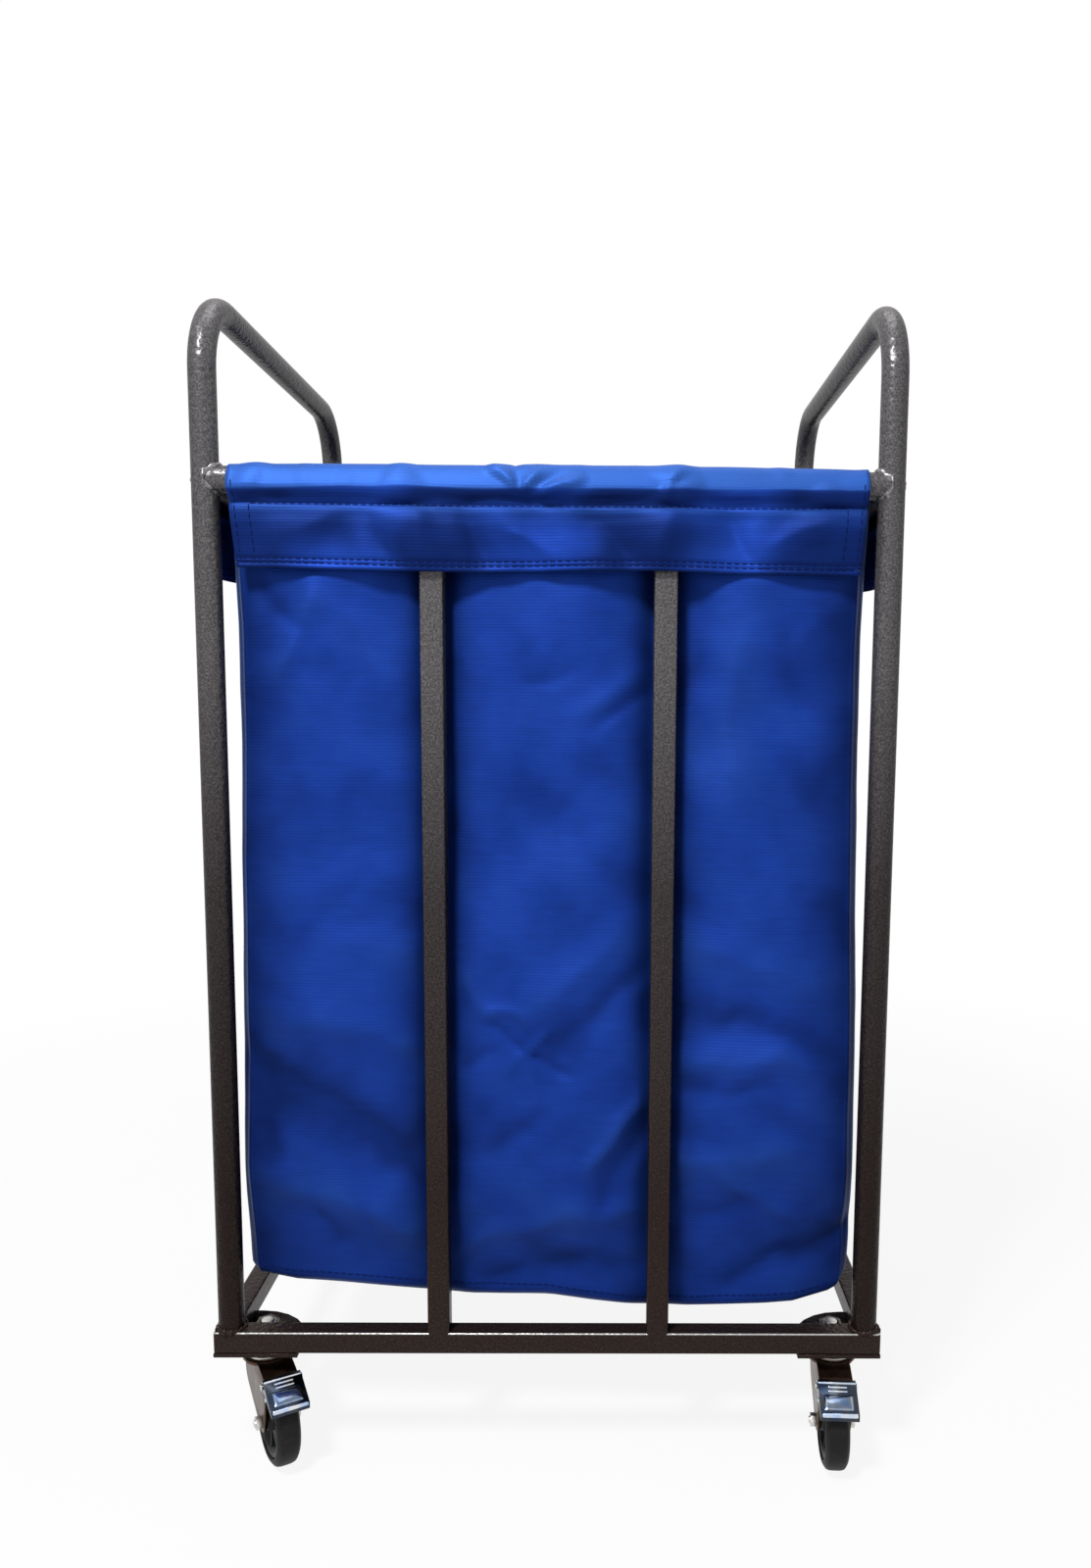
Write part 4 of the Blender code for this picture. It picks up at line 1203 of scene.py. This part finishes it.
def makeBag():
    size = bagShape
    bm = bmesh.new()
    height = rimLevel - size["bottom"]
    bmesh.ops.create_cube(bm, size=1)
    bmesh.ops.scale(bm, vec=(2 * size["halfWidth"], 2 * size["halfDepth"], height), verts=bm.verts)
    bmesh.ops.translate(bm, vec=(0, 0, rimLevel - height / 2), verts=bm.verts)
    lid = [face for face in bm.faces if face.normal.z > 0.5]
    bmesh.ops.delete(bm, geom=lid, context="FACES_ONLY")
    for axis, cuts in enumerate(size["cells"]):
        cutAlong(bm, axis, cuts)
    front = [face for face in bm.faces if face.normal.y < -0.5]
    edges = list({edge.index: edge for face in front for edge in face.edges}.values())
    bmesh.ops.subdivide_edges(bm, edges=edges, cuts=1, use_grid_fill=True)
    for place in (-1.5, -0.5, 0.5, 1.5):
        for sign in (-1, 1):
            where = sign * (size["seamPlace"] + place * size["seamWidth"])
            geom = bm.verts[:] + bm.edges[:] + bm.faces[:]
            bmesh.ops.bisect_plane(bm, geom=geom, plane_co=(where, 0, 0), plane_no=(1, 0, 0))
    weave = bm.loops.layers.uv.new("weave")
    for face in bm.faces:
        flat = 2 if abs(face.normal.z) > 0.5 else 1 if abs(face.normal.y) > 0.5 else 0
        first, second = ((1, 2), (0, 2), (0, 1))[flat]
        for loop in face.loops:
            loop[weave].uv = (loop.vert.co[first], loop.vert.co[second])
    # Painted shade and painted highlight on the bag's walls
    paintedShade, crest = wallTones(vertPoints(bm))
    setShares(bm, "paintedShade", paintedShade)
    setShares(bm, "paintedHighlight", crest)
    placeVerts(bm, hangBag(vertPoints(bm)))
    bm.normal_update()
    bag = finishPiece("bag_shell", bm, ["laundry_bag"], cloth, "bag", sharpAngle=80)
    addWall(bag, size["cloth"], -1)


makeBag()
print("bag shell hung")

flapShape = {
    "wrapRadius": 0.0119,
    "facing": ((-0.0133, -0.0160), (-0.0133, -0.0060), (-0.0123, -0.0020)),
    "wrapEnds": (176, 30),
    "fall": (
        (0.0125, 0.0020), (0.0146, -0.0030), (0.0162, -0.0076), (0.0155, -0.0098),
        (0.0134, -0.0130), (0.0116, -0.0164), (0.0109, -0.0188), (0.0111, -0.0208),
        (0.0120, -0.0260), (0.0127, -0.0350), (0.0128, -0.0450), (0.0126, -0.0580),
        (0.0123, -0.0715),
    ),  # out from the tube's middle, and up
    "cloth": 0.0012,
    "overBar": 0.0126,
    "overTube": 0.0118,
    "puff": 0.0010,
    "seamLevel": 0.8318,
    "hemLevels": (0.7882, 0.7847),
    "sewnDepth": 0.0008,
    "hemFold": 0.0006,
    "creaseFall": 0.0100,
    "creaseReach": 0.007,
    "creaseWaver": (0.0020, 0.30, 0.05, 6),  # rise, longest and shortest wave, waves
    "depthWave": (0.8, 0.30, 0.06, 7),
    "depths": (0.45, 1.25),  # the least and most that the crease's depth is changed by
    "wrinkles": (0.0020, 0.15, 0.03),
    # patches of painted shade on the flap's outside
    "patches": (0.75, 0.16, 0.04, 8),
    "bandTop": (0.011, 0.006),  # how far down the band starts, and over what run
    "sewnHold": (0.6, 0.006),  # how much a seam flattens the wrinkles, and how far from it
    "sewnWidth": 0.0015,
    "endWidth": 0.003,
    "barSlope": 0.22,
    "sag": (0.0012, 21),
    "shade": 0.95,
    "cellsAlong": 150,
    "cellRun": 0.0020,
}
# Half lengths at the top and at the hem, the bars behind, and how far the band stands out
endFlap = {"half": (0.2580, 0.2524), "bars": frontBars, "lean": 1.0}
sideFlap = {"half": (0.1970, 0.1930), "bars": sideBars, "lean": 0.35, "foldScale": 0.7}
flaps = {
    "front": {**endFlap, "folds": flapFolds, "foldScale": 2.3, "seed": 41},
    "rear": {
        **endFlap, "folds": scatteredFolds(43, 14, 0.22, 0.79, 0.85), "foldScale": 1.2, "seed": 44,
    },
    "left": {**sideFlap, "folds": scatteredFolds(47, 10, 0.16, 0.79, 0.85), "seed": 48},
    "right": {**sideFlap, "folds": scatteredFolds(53, 10, 0.16, 0.79, 0.85), "seed": 54},
}


# The flap's profile as a table by its run: out, up and the direction that faces away from the tube
def tracePath():
    radius = flapShape["wrapRadius"]
    start, stop = flapShape["wrapEnds"]
    turns = np.radians(np.linspace(start, stop, 24))
    wrap = np.stack((radius * np.cos(turns), radius * np.sin(turns)), axis=1)
    bends = np.concatenate((flapShape["facing"], wrap, flapShape["fall"]))
    runs = np.concatenate(((0,), np.cumsum(np.hypot(*np.diff(bends, axis=0).T))))
    fine = np.linspace(0, runs[-1], 600)
    path = [np.interp(fine, runs, bends[:, axis]) for axis in range(2)]
    kernel = np.hanning(21)
    kernel /= kernel.sum()
    smooth = []
    for line in path:
        first, last = line[1] - line[0], line[-1] - line[-2]
        head = line[0] + first * np.arange(-10, 0)
        tail = line[-1] + last * np.arange(1, 11)
        smooth.append(np.convolve(np.concatenate((head, line, tail)), kernel, "valid"))
    out, up = smooth
    along, climb = np.gradient(out), np.gradient(up)
    size = np.hypot(along, climb)
    return {"run": fine, "out": out, "up": up, "faceOut": -climb / size, "faceUp": along / size}


flapPath = tracePath()
flapLength = float(flapPath["run"][-1])
flapFront = int(np.argmax(flapPath["out"] > flapShape["wrapRadius"] * 0.98))


def pathAt(run, key):
    return np.interp(run, flapPath["run"], flapPath[key])


# How far along the flap's run its outer side comes down to a level
def runAtLevel(level):
    up, run = flapPath["up"][flapFront:], flapPath["run"][flapFront:]
    return np.interp(rimLevel - np.asarray(level), -up, run)


# Where a point of the flat flap comes to lie: along the tube, outward from the tube's axis, and up
def hangFlap(side, along, run):
    size, own = flapShape, flaps[side]
    topHalf, hemHalf = own["half"]
    seed, radius = own["seed"], size["wrapRadius"]
    waver = rumple(along * topHalf, along * 0, seed + 5, *size["creaseWaver"])
    crease = runAtLevel(rimLevel - size["creaseFall"])
    run = run + waver * np.exp(-((run - crease) / size["creaseReach"]) ** 2)
    out, up, faceOut, faceUp = (pathAt(run, key) for key in ("out", "up", "faceOut", "faceUp"))
    level = rimLevel + up
    fallen = np.clip(up / flapPath["up"][-1], 0, 1) * (out > 0)
    place = along * (topHalf + (hemHalf - topHalf) * fallen)
    bandTop, bandRun = size["bandTop"]
    below = (out > 0) * ease((-up - bandTop) / bandRun)
    depth = 1 + rumple(place, place * 0, seed, *size["depthWave"])
    reach = np.where(out < radius, np.clip(depth, *size["depths"]), own["lean"])
    out = out + (out - radius) * (reach - 1) * below
    wrinkle = foldRise(place, level, own["folds"]) * own["foldScale"]
    wrinkle += rumple(place, level * 0.8, seed + 1, *size["wrinkles"])
    wrinkle *= 0.15 + 0.85 * ease(0.5 + out / radius / 2)
    hold, holdWidth = size["sewnHold"]
    seam = size["seamLevel"]
    wrinkle *= 1 - hold * np.exp(-((level - seam) / holdWidth) ** 2) * below
    doubled = size["hemFold"] * ease((seam + 0.0010 - level) / 0.0026)
    sewn = np.exp(-((1 - np.abs(along)) * topHalf / size["endWidth"]) ** 2) / 2
    for row in (seam, *size["hemLevels"]):
        sewn += np.exp(-((level - row) / size["sewnWidth"]) ** 2)
    doubled -= size["sewnDepth"] * sewn
    stand = wrinkle * np.where(wrinkle < 0, below, 1) + doubled * below
    stand += size["puff"] * np.clip(depth, 0, 2) * np.clip(faceUp, 0, 1) * (1 - along ** 8)
    out = out + faceOut * stand
    level = level + faceUp * stand
    blend = 0.0008
    for bar in own["bars"]:
        beside = np.clip(np.abs(place - bar) - barHalf, 0, None)
        clear = size["overBar"] - size["barSlope"] * beside
        pressed = blend * np.logaddexp(out / blend, clear / blend)
        out = out + (pressed - out) * below
    up = level - rimLevel
    grow = np.maximum(1, size["overTube"] / np.maximum(np.hypot(out, up), 0.001))
    sag, wave = size["sag"]
    level = rimLevel + up * grow - sag * np.sin(place * wave + seed) * fallen
    return place, out * grow, level


def flapToCart(side, place, out, level):
    sign = -1 if side in ("front", "left") else 1
    if side in ends:
        return np.stack((place, sign * (postY + out), level), axis=1)
    return np.stack((sign * (postX + out), place, level), axis=1)


def makeFlap(side):
    size, own = flapShape, flaps[side]
    width = sum(own["half"])
    rows = set(np.linspace(0, flapLength, round(flapLength / size["cellRun"])).round(5))
    for level in (size["seamLevel"], *size["hemLevels"]):
        run = float(runAtLevel(level))
        rows |= {round(run + step * 0.0009, 5) for step in (-2, -1, 0, 1, 2)}
    rows = np.array(sorted(rows))
    bm = bmesh.new()
    bmesh.ops.create_grid(bm, x_segments=size["cellsAlong"], y_segments=len(rows) - 1, size=0.5)
    u, v, _ = vertPoints(bm).T
    along = u * 2
    run = rows[np.round((v + 0.5) * (len(rows) - 1)).astype(int)]
    weave = bm.loops.layers.uv.new("weave")
    for face in bm.faces:
        for loop in face.loops:
            index = loop.vert.index
            loop[weave].uv = (along[index] * width / 2, run[index])
    outside = pathAt(run, "out") > 0
    # Painted highlight on the flap's upward-facing outside, and painted shade in patches over the
    # rest of its outside
    crest = ease(pathAt(run, "faceUp") * outside / 0.45)
    shade = size["shade"] + rumple(along * width / 2, run, own["seed"] + 2, *size["patches"])
    setShares(bm, "paintedShade", (1 - crest) * outside * np.clip(shade, 0, 1.25))
    setShares(bm, "paintedHighlight", crest)
    placeVerts(bm, flapToCart(side, *hangFlap(side, along, run)))
    if side in ("front", "right"):
        bmesh.ops.reverse_faces(bm, faces=bm.faces)
    bm.normal_update()
    flap = finishPiece(side + "_flap", bm, (), cloth, "bag", sharpAngle=80)
    addWall(flap, size["cloth"], 0)
    return flap, width


# Stitches: short rounded dashes of thread laid end to end on the cloth
stitchShape = {
    "pitch": 0.0062,
    "length": 0.0052,
    "thick": 0.0011,
    "lift": 0.0002,
    "fromEdge": 0.0042,
    "insideEdge": 0.0156,
}


def sewRun(bm, pointAt, first, last):
    start, stop = np.array(first), np.array(last)
    count = max(2, int(np.linalg.norm(stop - start) / stitchShape["pitch"]))
    step = (stop - start) / count
    gap = (1 - stitchShape["length"] / stitchShape["pitch"]) / 2
    heads = np.array([start + step * (index + gap) for index in range(count)])
    tails = np.array([start + step * (index + 1 - gap) for index in range(count)])
    middles = (heads + tails) / 2
    side = np.array((-step[1], step[0])) / np.linalg.norm(step) * 0.001
    placed = (pointAt(spots) for spots in (heads, tails, middles, middles + side))
    for head, tail, middle, beside in zip(*placed):
        run = Vector(tail - head)
        out = run.cross(Vector(beside - middle)).normalized()
        across = out.cross(run).normalized()
        turn = Matrix((run.normalized(), across, out)).transposed().to_4x4()
        scale = Matrix.Diagonal((run.length, stitchShape["thick"], stitchShape["thick"], 1))
        bmesh.ops.create_uvsphere(
            bm, u_segments=6, v_segments=4, radius=0.5,
            matrix=Matrix.Translation(Vector(middle)) @ turn @ scale @ alongX,
        )


def flapSurface(side):
    lift = flapShape["cloth"] / 2 + stitchShape["lift"]
    half = flaps[side]["half"][1]

    def pointAt(spots):
        place, out, level = hangFlap(side, spots[:, 0] / half, runAtLevel(spots[:, 1]))
        return flapToCart(side, place, out + lift, level)

    return pointAt


def makeFlapStitches(side):
    bm = bmesh.new()
    pointAt = flapSurface(side)
    half = flaps[side]["half"][1]
    edge, inner = half - stitchShape["fromEdge"], half - stitchShape["insideEdge"]
    seam, hems = flapShape["seamLevel"], flapShape["hemLevels"]
    for reach, level in ((inner, seam), (edge, hems[0]), (edge, hems[1])):
        sewRun(bm, pointAt, (-reach, level), (reach, level))
    for sign in (-1, 1):
        for reach, top in ((sign * inner, seam), (sign * edge, rimLevel - 0.001)):
            sewRun(bm, pointAt, (reach, top), (reach, hems[1]))
    return finishPiece(side + "_flap_stitches", bm, (), thread, "bag")


for side in ends + sides:
    flap, width = makeFlap(side)
    stitches = makeFlapStitches(side)


# The sewn seam around the bag's foot
def wallSurface(side):
    size = bagShape

    def pointAt(spots):
        across, level = spots.T
        sign = -1 if side in ("front", "left") else 1
        if side in ends:
            flat = (across, across * 0 + sign * size["halfDepth"], level)
            push = np.array((0, sign, 0))
        else:
            flat = (across * 0 + sign * size["halfWidth"], across, level)
            push = np.array((sign, 0, 0))
        return hangBag(np.stack(flat, axis=1)) + push * stitchShape["lift"]

    return pointAt


def makeBagStitches():
    bm = bmesh.new()
    for side in ends + sides:
        reach = bagShape["halfWidth" if side in ends else "halfDepth"] - 0.018
        level = bagShape["bottom"] + 0.0115
        sewRun(bm, wallSurface(side), (-reach, level), (reach, level))
    finishPiece("bag_seam_stitches", bm, (), thread, "bag")


makeBagStitches()
print("flaps and stitches done")

# Floor, sky, lamps and camera
stageLook = {
    "floor": (0.86, 0.86, 0.86),
    "cameraShare": 0.90,  # how far the floor is lifted to white where the camera sees it
    "fade": (0.7, 1.7),  # the distances over which the floor goes over to plain white
    "sky": 0.17,
    "aim": (0.0, -0.2, 0.60),
    "lamps": {  # place, size and power
        "key": ((-0.58, -1.42, 2.30), 0.35, 59),
        "top": ((0.1, 0.15, 2.70), 1.2, 16),
    },
}


# 1 for rays from the camera and for reflected and refracted ones, else 0
def seenBy(holder):
    ray = addNode(holder, "LightPath", {})
    total = ray.outputs["Is Camera Ray"]
    for kind in ("Is Glossy Ray", "Is Transmission Ray"):
        total = addMath(holder, "MAXIMUM", total, ray.outputs[kind])
    return total


def makeFloor():
    bm = bmesh.new()
    bmesh.ops.create_grid(bm, x_segments=1, y_segments=1, size=9)
    mesh = bpy.data.meshes.new("floor")
    bm.to_mesh(mesh)
    bm.free()
    material = newMaterial(
        "paleFloor", 0.9, Base_Color=(*stageLook["floor"], 1), Specular_IOR_Level=0.0
    )
    nodes = material.node_tree.nodes
    far = addNode(material, "VectorMath", {0: objectPlace(material)}, operation="LENGTH")
    lift = addRange(
        material, far.outputs["Value"], stageLook["fade"], (stageLook["cameraShare"], 1.0)
    )
    share = addMath(material, "MULTIPLY", seenBy(material), lift)
    glow = addNode(material, "Emission", {"Color": (1, 1, 1, 1), "Strength": 1.0})
    plain = nodes["Principled BSDF"].outputs["BSDF"]
    mixed = addNode(material, "MixShader", {0: share, 1: plain, 2: glow.outputs["Emission"]})
    surface = nodes["Material Output"].inputs["Surface"]
    material.node_tree.links.new(mixed.outputs["Shader"], surface)
    mesh.materials.append(material)
    addToScene("floor", mesh)


def makeSky():
    world = bpy.data.worlds.new("sky")
    bpy.context.scene.world = world
    world.use_nodes = True
    background = world.node_tree.nodes["Background"]
    background.inputs["Color"].default_value = (1, 1, 1, 1)
    strength = addRange(world, seenBy(world), (0.0, 1.0), (stageLook["sky"], 1.0))
    world.node_tree.links.new(strength, background.inputs["Strength"])


def addLamp(name, place, size, power):
    lamp = bpy.data.lights.new(name, "AREA")
    lamp.shape = "SQUARE"
    lamp.size = size
    lamp.energy = power
    holder = addToScene(name, lamp)
    holder.location = place
    toAim = Vector(stageLook["aim"]) - Vector(place)
    holder.rotation_euler = toAim.to_track_quat("-Z", "Y").to_euler()


view = {
    "place": (0.04916, -1.20607, 0.68588),
    "yaw": 0.654,  # degrees to the right of +Y
    "pitch": 6.615,  # degrees down
    "roll": 0.470,
    "lens": 26.994,
    "shift": (-0.0482, 0.0268),
}


def makeCamera():
    camera = bpy.data.cameras.new("camera")
    camera.lens = view["lens"]
    camera.sensor_width = 36
    camera.shift_x, camera.shift_y = view["shift"]
    camera.clip_start = 0.01
    holder = addToScene("camera", camera)
    yaw, pitch, roll = (math.radians(view[key]) for key in ("yaw", "pitch", "roll"))
    right = Vector((math.cos(yaw), -math.sin(yaw), 0))
    level = Vector((math.sin(yaw), math.cos(yaw), 0))
    ahead = level * math.cos(pitch) - Vector((0, 0, math.sin(pitch)))
    up = right.cross(ahead)
    tiltedRight = math.cos(roll) * right + math.sin(roll) * up
    tiltedUp = math.cos(roll) * up - math.sin(roll) * right
    turn = Matrix((tiltedRight, tiltedUp, -ahead)).transposed().to_4x4()
    holder.matrix_world = Matrix.Translation(view["place"]) @ turn
    bpy.context.scene.camera = holder


makeFloor()
makeSky()
for name, lamp in stageLook["lamps"].items():
    addLamp(name, *lamp)
makeCamera()
bpy.context.scene.view_settings.view_transform = "Standard"
print("stage set")
